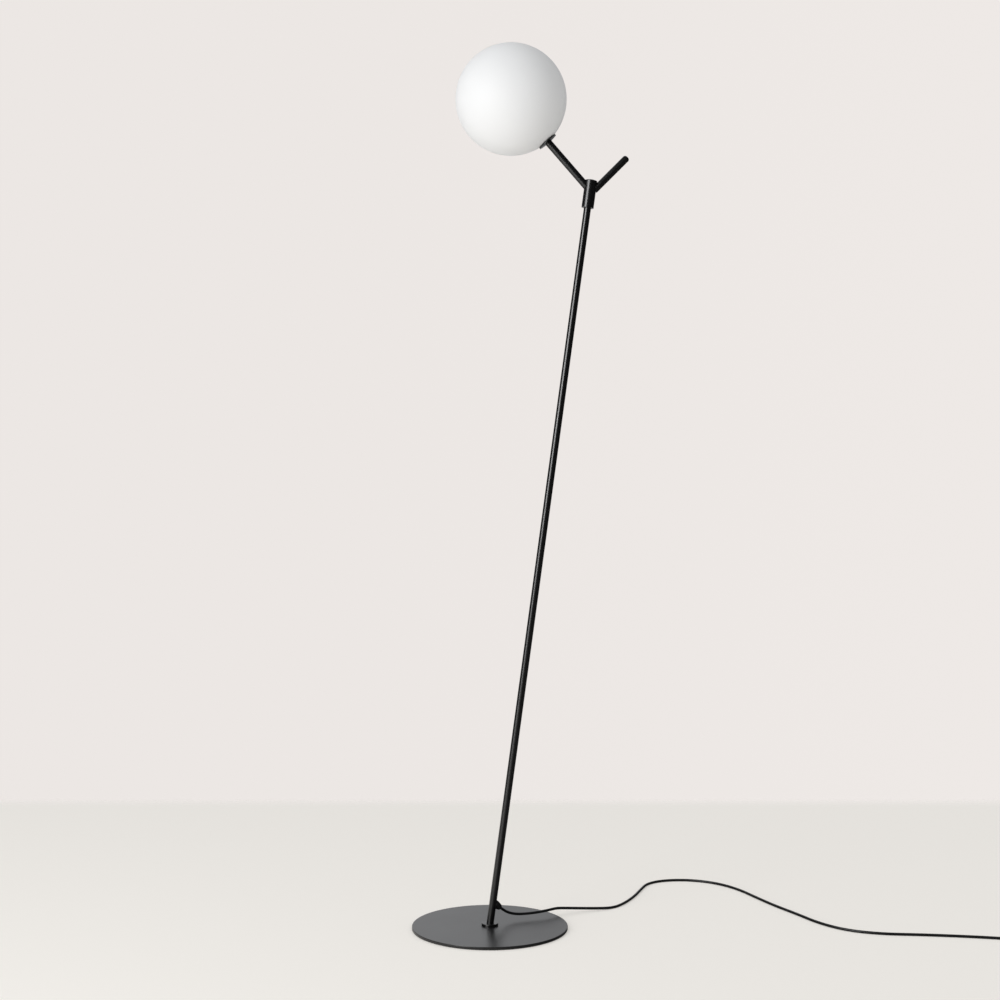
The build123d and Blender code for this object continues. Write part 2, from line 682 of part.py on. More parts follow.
# Each pin is a loop of wire: two legs and a round end.
with BuildPart() as bulb_pins:
    for side in (1, -1):
        pin_view = Plane(
            origin=seat.from_local_coords((0, side * SLOT_PITCH / 2, BULB_FOOT)),
            x_dir=seat.x_dir,
            z_dir=seat.y_dir,
        )
        leg = PIN_LOOP_W / 2 - PIN_WIRE_D / 2
        with BuildSketch(pin_view):
            with Locations((0, (PIN_LEN - PIN_LOOP_W / 2) / 2)):
                Rectangle(PIN_LOOP_W, PIN_LEN - PIN_LOOP_W / 2)
            with Locations((0, PIN_LEN - PIN_LOOP_W / 2)):
                Circle(PIN_LOOP_W / 2)
            with Locations((0, (PIN_LEN - PIN_LOOP_W / 2) / 2)):
                Rectangle(2 * leg - PIN_WIRE_D, PIN_LEN - PIN_LOOP_W / 2, mode=Mode.SUBTRACT)
            with Locations((0, PIN_LEN - PIN_LOOP_W / 2)):
                Circle(leg - PIN_WIRE_D / 2, mode=Mode.SUBTRACT)
        extrude(amount=PIN_WIRE_D / 2, both=True)
save(bulb_pins, "bulb_pins")

# ================================================================ strain relief and inner flex
groove_spots = [
    (
        RELIEF_ROOT_D / 2 - (RELIEF_ROOT_D - RELIEF_END_D) / 2 * share,
        RELIEF_COLLAR + (RELIEF_REACH - RELIEF_COLLAR) * share,
    )
    for share in RELIEF_GROOVES
]

with BuildPart() as strain_relief:
    with BuildSketch(side_view(relief_root)):
        Polygon(
            (0, RELIEF_ROOT_START),
            (RELIEF_ROOT_D / 2, RELIEF_ROOT_START),
            (RELIEF_ROOT_D / 2, RELIEF_COLLAR),
            (RELIEF_END_D / 2, RELIEF_REACH),
            (0, RELIEF_REACH),
            align=None,
        )
    revolve(axis=axis_of(relief_root))
    with BuildSketch(foot):
        Circle(POLE_R + SEATED)
    extrude(amount=2 * RELIEF_HEIGHT, mode=Mode.SUBTRACT)
    with BuildSketch(side_view(relief_root)):
        with Locations(*groove_spots):
            Rectangle(2 * RELIEF_GROOVE_DEPTH, RELIEF_GROOVE_W)
    revolve(axis=axis_of(relief_root), mode=Mode.SUBTRACT)
    with BuildSketch(relief_root.offset(RELIEF_STEM_START)):
        Circle(RELIEF_STEM_D / 2)
    extrude(amount=RELIEF_COLLAR - RELIEF_STEM_START)
    with BuildSketch(relief_root):
        Circle(CORD_D / 2 + SEATED)
    extrude(amount=RELIEF_REACH, mode=Mode.SUBTRACT)
save(strain_relief, "strain_relief")


def corner_radii(points):
    """Radius at each corner: the share of its shorter run, over the tangent of half its turn."""
    radii = []
    for before, corner, after in zip(points, points[1:], points[2:]):
        run_in = Vector(corner) - Vector(before)
        run_out = Vector(after) - Vector(corner)
        turn = math.radians(run_in.get_angle(run_out))
        radii.append(CORNER_SHARE * min(run_in.length, run_out.length) / math.tan(turn / 2))
    return radii


def flex_tube(points, radii):
    """Round cord along straight runs joined by tangent arcs."""
    start = Vector(points[0])
    with BuildPart() as tube:
        with BuildLine() as route:
            FilletPolyline(*points, radius=radii)
        with BuildSketch(Plane(origin=start, z_dir=Vector(points[1]) - start)):
            Circle(CORD_D / 2)
        sweep()
    length = sum(edge.length for edge in route.edges())
    share = tube.part.volume / (length * math.pi * CORD_D**2 / 4)
    print(f"cord of {length:.1f} mm, volume over section times length {share:.4f}")
    return tube


pole_flex = flex_tube(
    [point_on(relief_root, RELIEF_REACH), relief_root.origin, point_on(hub_foot, FLEX_SPLIT)],
    [FLEX_BEND_R],
)
save(pole_flex, "pole_flex")

arm_flex = flex_tube(
    [
        point_on(hub_foot, FLEX_SPLIT + CLEAR),
        arm_root.origin,
        point_on(seat, HOLDER_FOOT),
    ],
    [ARM_FLEX_BEND_R],
)
save(arm_flex, "arm_flex")

# ================================================================ free lead
# The route leaves the relief, hangs level above the plate, comes down to the floor past its rim
# and wanders on to the foot switch.
LEAD_Z = CORD_D / 2 + LEAD_LIFT
lead_points = [
    point_on(relief_root, RELIEF_REACH),
    point_on(relief_root, RELIEF_REACH + RELIEF_RUN),
    (32, 30, 21),
    (46, 35, 16.5),
    (66, 41, 15.5),
    (90, 49, 16.5),
    (108, 61, 17),
    (122, 76, 16.5),
    (137, 88, 13.5),
    (162, 104, 9.0),
    (196, 118, 5.0),
    (229, 130, LEAD_Z),
    (252, 160, LEAD_Z),
    (276, 212, LEAD_Z),
    (294, 268, LEAD_Z),
    (310, 314, LEAD_Z),
    (346, 340, LEAD_Z),
    (399, 343, LEAD_Z),
    (449, 317, LEAD_Z),
    (485, 269, LEAD_Z),
    (509, 210, LEAD_Z),
    (536, 147, LEAD_Z),
    (568, 87, LEAD_Z),
    (597, 25, LEAD_Z),
    (638, -22, LEAD_Z),
    (695, -45, LEAD_Z),
    (763, -50, LEAD_Z),
    (829, -59, LEAD_Z),
    (893, -71, LEAD_Z),
    (946, -86, LEAD_Z),
    (993, -78, LEAD_Z),
    (1021, -47, LEAD_Z),
    (SWITCH_X, SWITCH_Y - CORD_END_X - SWITCH_RUN_IN, SWITCH_BASE_H),
    (SWITCH_X, SWITCH_Y - CORD_END_X, SWITCH_BASE_H),
]
lead_radii = corner_radii(lead_points)
print("lead radii", [round(radius) for radius in lead_radii])
mains_lead = flex_tube(lead_points, lead_radii)
save(mains_lead, "mains_lead")

# ================================================================ foot switch
# Heights are above the floor; the switch's length lies along +Y.
switch_foot = Plane(origin=(SWITCH_X, SWITCH_Y, 0), x_dir=(0, 1, 0), z_dir=(0, 0, 1))
split_plane = switch_foot.offset(SWITCH_BASE_H)
cord_run = Plane(origin=split_plane.origin, x_dir=(0, 0, 1), z_dir=(0, 1, 0))
SWITCH_TOP = SWITCH_BASE_H + SWITCH_COVER_H
CEILING = SWITCH_TOP - SWITCH_WALL
INSIDE_LEN = SWITCH_LEN - 2 * SWITCH_WALL
INSIDE_W = SWITCH_W - 2 * SWITCH_WALL
SCREW_R = SWITCH_SCREW_D / 2
screw_spots = GridLocations(2 * SWITCH_SCREW_X, 2 * SWITCH_SCREW_Y, 2, 2).locations

with BuildPart() as switch_base:
    with BuildSketch(switch_foot):
        RectangleRounded(SWITCH_LEN, SWITCH_W, SWITCH_CORNER)
    extrude(amount=SWITCH_BASE_H)
    fillet(switch_base.edges().group_by(Axis.Z)[0], SWITCH_WALL / 2)
    with BuildSketch(switch_foot.offset(SWITCH_WALL)):
        RectangleRounded(INSIDE_LEN, INSIDE_W, SWITCH_CORNER - SWITCH_WALL)
    extrude(amount=SWITCH_BASE_H, mode=Mode.SUBTRACT)
    with BuildSketch(switch_foot.offset(SWITCH_WALL)):
        with Locations(*screw_spots):
            Circle(2 * SCREW_R)
    extrude(amount=SWITCH_BASE_H - SWITCH_WALL)
    with BuildSketch(switch_foot):
        with Locations(*screw_spots):
            Circle(SCREW_R + SEATED)
    extrude(amount=SWITCH_BASE_H, mode=Mode.SUBTRACT)
    with BuildSketch(switch_foot):
        with Locations(*screw_spots):
            Circle(2 * SCREW_R - SEATED)
    extrude(amount=SWITCH_SCREW_HEAD, mode=Mode.SUBTRACT)
    with BuildSketch(cord_run):
        Circle(CORD_D / 2 + CLEAR)
    extrude(amount=SWITCH_LEN, both=True, mode=Mode.SUBTRACT)
save(switch_base, "switch_base")

with BuildPart() as switch_cover:
    with BuildSketch(split_plane):
        RectangleRounded(SWITCH_LEN, SWITCH_W, SWITCH_CORNER)
    extrude(amount=SWITCH_COVER_H, taper=SWITCH_DRAFT)
    fillet(switch_cover.edges().group_by(Axis.Z)[-1], SWITCH_EDGE)
    with BuildSketch(split_plane):
        RectangleRounded(INSIDE_LEN, INSIDE_W, SWITCH_CORNER - SWITCH_WALL)
    extrude(amount=SWITCH_COVER_H - SWITCH_WALL, taper=SWITCH_DRAFT, mode=Mode.SUBTRACT)
    with BuildSketch(split_plane):
        with Locations(*screw_spots):
            Circle(2 * SCREW_R)
            Circle(SCREW_R + SEATED, mode=Mode.SUBTRACT)
    extrude(amount=CEILING - SWITCH_BASE_H)
    with BuildSketch(switch_foot.offset(CEILING)):
        Circle(BUTTON_D / 2 + CLEAR)
    extrude(amount=SWITCH_WALL, mode=Mode.SUBTRACT)
    with BuildSketch(cord_run):
        Circle(CORD_D / 2 + CLEAR)
    extrude(amount=SWITCH_LEN, both=True, mode=Mode.SUBTRACT)
save(switch_cover, "switch_cover")

with BuildPart() as switch_screws:
    with BuildSketch(switch_foot.offset(SWITCH_SCREW_HEAD / 2)):
        with Locations(*screw_spots):
            Circle(2 * SCREW_R - 2 * SEATED)
    extrude(amount=SWITCH_SCREW_HEAD / 2)
    with BuildSketch(switch_foot.offset(SWITCH_SCREW_HEAD)):
        with Locations(*screw_spots):
            Circle(SCREW_R)
    extrude(amount=CEILING - SWITCH_SCREW_HEAD - CLEAR)
save(switch_screws, "switch_screws")

BLOCK_TOP = SWITCH_WALL + BLOCK_H
SKIRT_TOP = CEILING - CLEAR / 2
SKIRT_FOOT = SKIRT_TOP - BUTTON_SKIRT
BUTTON_TOP = SWITCH_TOP + BUTTON_PROUD
BUTTON_CEILING = BUTTON_TOP - BUTTON_DISH - BUTTON_WALL

with BuildPart() as switch_block:
    with BuildSketch(switch_foot.offset(SWITCH_WALL)):
        Rectangle(BLOCK_LEN, BLOCK_W)
    extrude(amount=BLOCK_H)
    with BuildSketch(switch_foot.offset(BLOCK_TOP)):
        Circle(STEM_D / 2 + CLEAR)
    extrude(amount=-BUTTON_TRAVEL - 2 * CLEAR, mode=Mode.SUBTRACT)
save(switch_block, "switch_block")

with BuildPart() as switch_button:
    with BuildSketch(switch_foot.offset(SKIRT_FOOT)):
        Circle(BUTTON_D / 2)
    extrude(amount=BUTTON_TOP - SKIRT_FOOT)
    fillet(switch_button.edges().group_by(Axis.Z)[-1], BUTTON_EDGE)
    dish_r = ((BUTTON_D / 2) ** 2 / BUTTON_DISH + BUTTON_DISH) / 2
    with Locations((SWITCH_X, SWITCH_Y, BUTTON_TOP - BUTTON_DISH + dish_r)):
        Sphere(dish_r, mode=Mode.SUBTRACT)
    with BuildSketch(switch_foot.offset(SKIRT_FOOT)):
        Circle(BUTTON_D / 2 + BUTTON_WALL)
    extrude(amount=BUTTON_SKIRT)
    with BuildSketch(switch_foot.offset(SKIRT_FOOT)):
        Circle(BUTTON_D / 2 - BUTTON_WALL)
    extrude(amount=BUTTON_CEILING - SKIRT_FOOT, mode=Mode.SUBTRACT)
    with BuildSketch(switch_foot.offset(BLOCK_TOP)):
        Circle(STEM_D / 2)
    extrude(amount=BUTTON_CEILING - BLOCK_TOP)
save(switch_button, "switch_button")

with BuildPart() as switch_spring:
    with BuildLine() as coil_line:
        Helix(
            pitch=(BUTTON_CEILING - BLOCK_TOP - SPRING_WIRE) / SPRING_TURNS,
            height=BUTTON_CEILING - BLOCK_TOP - SPRING_WIRE,
            radius=SPRING_D / 2,
            center=(SWITCH_X, SWITCH_Y, BLOCK_TOP + SPRING_WIRE / 2),
        )
    with BuildSketch(Plane(origin=coil_line.line @ 0, z_dir=coil_line.line % 0)):
        Circle(SPRING_WIRE / 2)
    sweep(is_frenet=True)
save(switch_spring, "switch_spring")

with BuildPart() as switch_clamps:
    with BuildSketch(switch_foot.offset(SWITCH_WALL)):
        with GridLocations(2 * CLAMP_X, 0, 2, 1):
            Rectangle(CLAMP_LEN, 2 * CORD_D)
    extrude(amount=SWITCH_BASE_H - SWITCH_WALL + CORD_D / 2 + CLAMP_T)
    with BuildSketch(switch_foot.offset(SWITCH_WALL)):
        Rectangle(SWITCH_LEN, CORD_D + 2 * SEATED)
    extrude(amount=SWITCH_BASE_H - SWITCH_WALL + CORD_D / 2 + SEATED, mode=Mode.SUBTRACT)
save(switch_clamps, "switch_clamps")

# ================================================================ put-away coil
COIL_Z = TIE_T + CORD_D / 2 + CLEAR / 2
COIL_MIDDLE = math.pi * COIL_TURNS


def coil_node(travel):
    """Point and heading on the coil's centre line, an angle travelled from its start.

    The radius is the inner radius plus the pitch for each turn away from the middle, and the
    height climbs one layer by half a cosine in the half turn about the middle.
    """
    away = travel - COIL_MIDDLE
    radius = COIL_INNER_R + COIL_PITCH * abs(away) / (2 * math.pi)
    growth = COIL_PITCH / (2 * math.pi) * ((away > 0) - (away < 0))
    climb = min(max(away / math.pi + 0.5, 0), 1)
    height = COIL_Z + COIL_LAYER * (1 - math.cos(math.pi * climb)) / 2
    rise = COIL_LAYER * math.sin(math.pi * climb) / 2
    angle = math.pi - travel
    along = Vector(math.cos(angle), math.sin(angle), 0)
    across = Vector(math.sin(angle), -math.cos(angle), 0)
    point = Vector(COIL_X, COIL_Y, height) + along * radius
    heading = (along * growth + across * radius + Vector(0, 0, rise)).normalized()
    return point, heading


def biarc_middle(start, start_heading, end, end_heading):
    """Point and heading where two tangent arcs of equal reach meet between two headings."""
    chord = end - start
    both = start_heading + end_heading
    spread = 2 * (1 - start_heading.dot(end_heading))
    reach = (math.sqrt(chord.dot(both) ** 2 + spread * chord.dot(chord)) - chord.dot(both)) / spread
    leaving = start + start_heading * reach
    arriving = end - end_heading * reach
    return (leaving + arriving) * 0.5, (arriving - leaving).normalized()


half_turns = [math.pi * step for step in range(int(COIL_TURNS * 2) + 1)]
coil_nodes = [coil_node(travel) for travel in sorted(half_turns + [COIL_MIDDLE])]
coil_start = coil_nodes[0][0] - coil_nodes[0][1] * CORD_D
coil_end = coil_nodes[-1][0] + coil_nodes[-1][1] * CORD_D

with BuildPart() as lead_coil:
    with BuildLine() as coil_route:
        Line(coil_start, coil_nodes[0][0])
        for (start, heading), (end, end_heading) in zip(coil_nodes, coil_nodes[1:]):
            middle, join_heading = biarc_middle(start, heading, end, end_heading)
            TangentArc(start, middle, tangent=heading)
            TangentArc(middle, end, tangent=join_heading)
        Line(coil_nodes[-1][0], coil_end)
    with BuildSketch(Plane(origin=coil_start, z_dir=coil_nodes[0][1])):
        Circle(CORD_D / 2)
    sweep()
save(lead_coil, "lead_coil")

coil_length = sum(edge.length for edge in coil_route.edges())
coil_share = lead_coil.part.volume / (coil_length * math.pi * CORD_D**2 / 4)
coil_spots = [
    edge @ (step / COIL_SAMPLES)
    for edge in coil_route.edges()
    for step in range(COIL_SAMPLES)
]
coil_gap = min(
    (spot - other).length
    for index, spot in enumerate(coil_spots)
    for other in coil_spots[index + 2 * COIL_SAMPLES :]
)
print(f"coil of {coil_length:.1f} mm, volume over section times length {coil_share:.4f}")
print(f"coil's smallest gap between turns {coil_gap - CORD_D:.2f} mm")

tie_inner = COIL_INNER_R + COIL_PITCH / 2 - CORD_D / 2 - CLEAR - TIE_SLACK
tie_outer = COIL_INNER_R + COIL_PITCH * (COIL_TURNS / 2 - TIE_TURN) + CORD_D / 2 + CLEAR
tie_height = COIL_LAYER + CORD_D + CLEAR

with BuildPart() as coil_tie:
    tie_view = Plane(
        origin=(COIL_X, COIL_Y + (tie_inner + tie_outer) / 2, TIE_T + tie_height / 2),
        x_dir=(0, 1, 0),
        z_dir=(1, 0, 0),
    )
    with BuildSketch(tie_view):
        RectangleRounded(tie_outer - tie_inner + 2 * TIE_T, tie_height + 2 * TIE_T, CORD_D / 2)
        RectangleRounded(tie_outer - tie_inner, tie_height, CORD_D / 2 - TIE_T, mode=Mode.SUBTRACT)
    extrude(amount=TIE_W / 2, both=True)
save(coil_tie, "coil_tie")

# ================================================================ lead from the switch to the coil
lay_in = coil_start - coil_nodes[0][1] * COIL_RUN_IN
switch_lead_points = [
    (SWITCH_X, SWITCH_Y + CORD_END_X, SWITCH_BASE_H),
    (SWITCH_X, SWITCH_Y + CORD_END_X + SWITCH_RUN_OUT, SWITCH_BASE_H),
    lay_in,
    coil_start,
]
switch_lead = flex_tube(switch_lead_points, corner_radii(switch_lead_points))
save(switch_lead, "switch_lead")

# ================================================================ plug
PLUG_Z = PLUG_T / 2
PLUG_BACK_Y = PLUG_FACE_Y + PLUG_LEN
plug_foot = Plane(origin=(PLUG_X, PLUG_FACE_Y, 0), x_dir=(1, 0, 0), z_dir=(0, 0, 1))
plug_face = Plane(origin=(PLUG_X, PLUG_FACE_Y, PLUG_Z), x_dir=(1, 0, 0), z_dir=(0, -1, 0))
plug_back = plug_face.offset(-PLUG_LEN)
PIN_R = PLUG_PIN_D / 2
CORE_R = PLUG_CORE_D / 2

with BuildPart() as plug_body:
    with BuildSketch(plug_foot):
        Polygon(
            (-PLUG_W / 2, 0),
            (PLUG_W / 2, 0),
            (PLUG_W / 2, PLUG_SHOULDER),
            (PLUG_SHOULDER_W / 2, PLUG_LEN),
            (-PLUG_SHOULDER_W / 2, PLUG_LEN),
            (-PLUG_W / 2, PLUG_SHOULDER),
            align=None,
        )
    extrude(amount=PLUG_T)
    fillet(plug_body.edges().filter_by(Axis.Z), PLUG_EDGE)
    fillet(plug_body.edges().group_by(Axis.Z)[-1], PLUG_EDGE / 2)
    fillet(plug_body.edges().group_by(Axis.Z)[0], PLUG_EDGE / 2)
    with BuildSketch(plug_face):
        with GridLocations(PLUG_PIN_PITCH, 0, 2, 1):
            Circle(CORE_R + SEATED)
    extrude(amount=-PLUG_PIN_D, mode=Mode.SUBTRACT)
save(plug_body, "plug_body")

with BuildPart() as plug_sleeves:
    with BuildSketch(plug_face):
        with GridLocations(PLUG_PIN_PITCH, 0, 2, 1):
            Circle(PLUG_SLEEVE_D / 2)
            Circle(CORE_R + SEATED, mode=Mode.SUBTRACT)
    extrude(amount=PLUG_SLEEVE_LEN)
save(plug_sleeves, "plug_sleeves")

with BuildPart() as plug_pins:
    with BuildSketch(plug_face.offset(-PLUG_PIN_D)):
        with GridLocations(PLUG_PIN_PITCH, 0, 2, 1):
            Circle(CORE_R)
    extrude(amount=PLUG_PIN_D + PLUG_SLEEVE_LEN)
    with BuildSketch(plug_face.offset(PLUG_SLEEVE_LEN)):
        with GridLocations(PLUG_PIN_PITCH, 0, 2, 1):
            Circle(PIN_R)
    extrude(amount=PLUG_PIN_LEN - PLUG_SLEEVE_LEN)
    fillet(plug_pins.edges().group_by(Axis.Y)[0], PLUG_PIN_TIP_R)
save(plug_pins, "plug_pins")

with BuildPart() as plug_relief:
    with BuildSketch(plug_back):
        Circle(PLUG_RELIEF_D / 2)
    with BuildSketch(plug_back.offset(-PLUG_RELIEF_LEN)):
        Circle(PLUG_RELIEF_END_D / 2)
    loft()
    with BuildSketch(plug_back):
        Circle(CORD_D / 2 + CLEAR / 2)
    extrude(amount=-PLUG_RELIEF_LEN, mode=Mode.SUBTRACT)
save(plug_relief, "plug_relief")

# ================================================================ lead from the coil to the plug
tail_points = [
    coil_end,
    coil_end + coil_nodes[-1][1] * COIL_RUN_OUT,
    (PLUG_X, PLUG_BACK_Y + PLUG_RUN, PLUG_Z),
    (PLUG_X, PLUG_BACK_Y, PLUG_Z),
]
lead_tail = flex_tube(tail_points, corner_radii(tail_points))
save(lead_tail, "lead_tail")

print("globe's centre", [round(value, 2) for value in globe_centre])
print("seat", [round(value, 3) for value in seat.origin], [round(v, 5) for v in seat.z_dir])
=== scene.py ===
# %% [markdown]
# # A globe floor lamp, dressed in Blender
#
# The CAD model of the lamp is the fixed frame of this scene: every solid is already in its place,
# in metres, with +Z up and the pole leaning towards +X.  This lesson gives each solid the finish
# of the real piece, and replaces the few that a smooth surface shows better: the soft lead, the
# blown glass globe, the ribbed rubber reliefs and the spring under the switch's button.  A cell of
# comments comes before each step and says what the piece is and why it is made this way.

import json
import math

import bmesh
import bpy
import numpy as np
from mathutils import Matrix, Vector


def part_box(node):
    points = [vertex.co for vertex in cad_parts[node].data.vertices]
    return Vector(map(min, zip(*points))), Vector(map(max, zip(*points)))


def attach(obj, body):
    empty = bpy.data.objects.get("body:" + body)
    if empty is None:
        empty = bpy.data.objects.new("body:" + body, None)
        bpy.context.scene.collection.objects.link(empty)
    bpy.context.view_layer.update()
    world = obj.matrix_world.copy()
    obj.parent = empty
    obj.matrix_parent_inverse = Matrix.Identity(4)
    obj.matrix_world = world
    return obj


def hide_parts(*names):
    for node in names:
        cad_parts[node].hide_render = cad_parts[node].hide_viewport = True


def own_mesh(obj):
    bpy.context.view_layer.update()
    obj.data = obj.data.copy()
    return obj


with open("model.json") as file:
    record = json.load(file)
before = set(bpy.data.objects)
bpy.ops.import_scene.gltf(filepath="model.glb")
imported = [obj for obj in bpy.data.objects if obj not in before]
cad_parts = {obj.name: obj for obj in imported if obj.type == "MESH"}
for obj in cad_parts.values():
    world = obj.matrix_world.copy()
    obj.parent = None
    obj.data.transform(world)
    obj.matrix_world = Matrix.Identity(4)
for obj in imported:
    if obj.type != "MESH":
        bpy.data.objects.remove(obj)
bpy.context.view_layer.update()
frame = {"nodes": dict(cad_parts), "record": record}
print("CAD nodes", len(frame["nodes"]))

# %% [markdown]
# ## The camera
#
# The photograph was taken from the front with a level camera, a little above the middle of the
# pole, and the frame was shifted down, because the pole's foot and the globe are both upright in
# it.  A level camera with a small vertical shift keeps such verticals parallel, which a tilted
# camera doesn't.

# %% Camera
SENSOR = 36.0
PHOTO_SIZE = 1000
FOCAL_PX = 1700
HORIZON_PX = 460.6
CAMERA_AT = (0.0182, -3.059, 0.8417)

camera = bpy.data.objects.new("camera", bpy.data.cameras.new("camera"))
bpy.context.scene.collection.objects.link(camera)
camera.location = CAMERA_AT
camera.rotation_euler = (math.radians(90), 0, 0)
camera.data.sensor_width = SENSOR
camera.data.lens = SENSOR * FOCAL_PX / PHOTO_SIZE
camera.data.shift_y = (HORIZON_PX - PHOTO_SIZE / 2) / PHOTO_SIZE
bpy.context.scene.camera = camera
print("lens", camera.data.lens, "shift", camera.data.shift_y)

# %% [markdown]
# ## Sizes shared with the model
#
# The pole leans, so most pieces are placed along tilted axes.  An axis is kept here as an origin
# and a direction, and a point on it is the origin plus a length times the direction.


# %% Axes of the lamp
def unit(vector):
    """A vector divided by its own length."""
    vector = np.asarray(vector, float)
    return vector / np.linalg.norm(vector)


def along(origin, direction, distance):
    """Origin plus distance times direction."""
    return np.asarray(origin, float) + distance * np.asarray(direction, float)


LEAN = math.radians(7.75)
PLATE_TOP = 0.006
HUB_START = 1.302  # up the pole, from the plate's top
foot = np.array([0, 0, PLATE_TOP])
pole_up = np.array([math.sin(LEAN), 0, math.cos(LEAN)])
hub_foot = along(foot, pole_up, HUB_START)

ARM_TILT = LEAN - math.radians(48.65)
ARM_START = 0.0321  # up the hub
GLOBE_REACH = 0.2166  # along the arm, to the globe's centre
GLOBE_R = 0.100
arm_out = np.array([math.sin(ARM_TILT), 0, math.cos(ARM_TILT)])
arm_root = along(hub_foot, pole_up, ARM_START)
globe_centre = along(arm_root, arm_out, GLOBE_REACH)

RELIEF_TURN = math.radians(50)
RELIEF_DROOP = math.radians(33)
RELIEF_START = 0.0410  # up the pole, from the plate's top
RELIEF_REACH = 0.021
relief_out = np.array(
    [
        math.cos(RELIEF_DROOP) * math.cos(RELIEF_TURN),
        math.cos(RELIEF_DROOP) * math.sin(RELIEF_TURN),
        -math.sin(RELIEF_DROOP),
    ]
)
relief_root = along(foot, pole_up, RELIEF_START)
cord_exit = along(relief_root, relief_out, RELIEF_REACH)
print("globe's centre", globe_centre.round(4), "cord's exit", cord_exit.round(4))

# %% [markdown]
# ## The mains lead
#
# The lead is a round two-core cable with a black PVC sheath, 5 mm thick.  It leaves the rubber
# relief low on the back of the pole, hangs level a finger's breadth above the plate, which mirrors
# it as a soft dark band, and comes down to the floor past the rim.  From there it wanders in three
# loose bends, out of the picture, to a foot switch.  A stiff round cable never shows a corner, so
# its centre line is a NURBS curve of order 3 that runs near a few points.

# %% A cord as a smooth curve
CORD_D = 0.005
CORD_ORDER = 3


def cord_curve(name, points):
    """Round cord about a NURBS curve of order 3 whose control points are the given ones."""
    curve = bpy.data.curves.new(name, "CURVE")
    curve.dimensions = "3D"
    curve.resolution_u = 10
    curve.bevel_depth = CORD_D / 2
    curve.bevel_resolution = 4
    curve.use_fill_caps = True
    spline = curve.splines.new("NURBS")
    spline.points.add(len(points) - 1)
    rows = np.ones((len(points), 4))
    rows[:, :3] = points
    spline.points.foreach_set("co", rows.ravel())
    spline.order_u = CORD_ORDER
    spline.use_endpoint_u = True
    piece = bpy.data.objects.new(name, curve)
    bpy.context.scene.collection.objects.link(piece)
    return piece


def centre_line(piece):
    """Points of a cord's centre line, read from its curve with the thickness left out."""
    bare = piece.data.copy()
    bare.bevel_depth = 0
    carrier = bpy.data.objects.new("bare", bare)
    bpy.context.scene.collection.objects.link(carrier)
    bpy.context.view_layer.update()
    graph = bpy.context.evaluated_depsgraph_get()
    mesh = bpy.data.meshes.new_from_object(carrier.evaluated_get(graph))
    spots = np.empty(len(mesh.vertices) * 3)
    mesh.vertices.foreach_get("co", spots)
    bpy.data.objects.remove(carrier)
    bpy.data.meshes.remove(mesh)
    bpy.data.curves.remove(bare)
    return spots.reshape(-1, 3)


def line_length(spots):
    """Sum of the distances between neighbouring points."""
    return float(np.linalg.norm(np.diff(spots, axis=0), axis=1).sum())


# %% Lead from the pole to the foot switch
SWITCH_X, SWITCH_Y = 1.025, 0.047
CORD_END = 0.030
CORD_ENTRY_Z = 0.006
LYING_Z = 0.0026  # centre line of a cord that lies on the floor

lead_points = [
    cord_exit,
    along(cord_exit, relief_out, 0.012),
    (0.032, 0.030, 0.0210),
    (0.046, 0.035, 0.0165),
    (0.066, 0.041, 0.0155),
    (0.090, 0.049, 0.0165),
    (0.108, 0.061, 0.0170),
    (0.122, 0.076, 0.0165),
    (0.137, 0.088, 0.0135),
    (0.162, 0.104, 0.0090),
    (0.196, 0.118, 0.0050),
    (0.229, 0.130, LYING_Z),
    (0.252, 0.160, LYING_Z),
    (0.276, 0.212, LYING_Z),
    (0.294, 0.268, LYING_Z),
    (0.310, 0.314, LYING_Z),
    (0.346, 0.340, LYING_Z),
    (0.399, 0.343, LYING_Z),
    (0.449, 0.317, LYING_Z),
    (0.485, 0.269, LYING_Z),
    (0.509, 0.210, LYING_Z),
    (0.536, 0.147, LYING_Z),
    (0.568, 0.087, LYING_Z),
    (0.597, 0.025, LYING_Z),
    (0.638, -0.022, LYING_Z),
    (0.695, -0.045, LYING_Z),
    (0.763, -0.050, LYING_Z),
    (0.829, -0.059, LYING_Z),
    (0.893, -0.071, LYING_Z),
    (0.946, -0.086, LYING_Z),
    (0.993, -0.078, LYING_Z),
    (1.021, -0.047, LYING_Z),
    (SWITCH_X, SWITCH_Y - CORD_END - 0.031, CORD_ENTRY_Z),
    (SWITCH_X, SWITCH_Y - CORD_END, CORD_ENTRY_Z),
]
lead = cord_curve("mains_lead_sheath", lead_points)
lead_length = line_length(centre_line(lead))
print(f"lead to the switch {lead_length:.3f} m")

# %% [markdown]
# ## The rest of the lead
#
# Past the switch the picture shows nothing, so the spare metre of cable is put away: wound
# clockwise into a neat coil of two layers, held by a strap, and on to a flat plug.  In each turn
# the radius changes by one pitch.  The first layer winds inwards, climbs in the half turn where
# the spiral reverses, and the second winds out again.

# %% Coil and tail
COIL_CENTRE = (1.066, 0.165)
COIL_INNER_R = 0.020
COIL_PITCH = 0.0056
COIL_LAYER = 0.0055
COIL_Z = 0.0006 + CORD_D / 2 + 0.00015
COIL_TURNS = 5.5
POINTS_PER_TURN = 16
COIL_LEAD = 0.005  # straight bit at each end of the coil
PLUG_X, PLUG_BACK_Y, PLUG_Z = 1.1025, 0.074, 0.00685


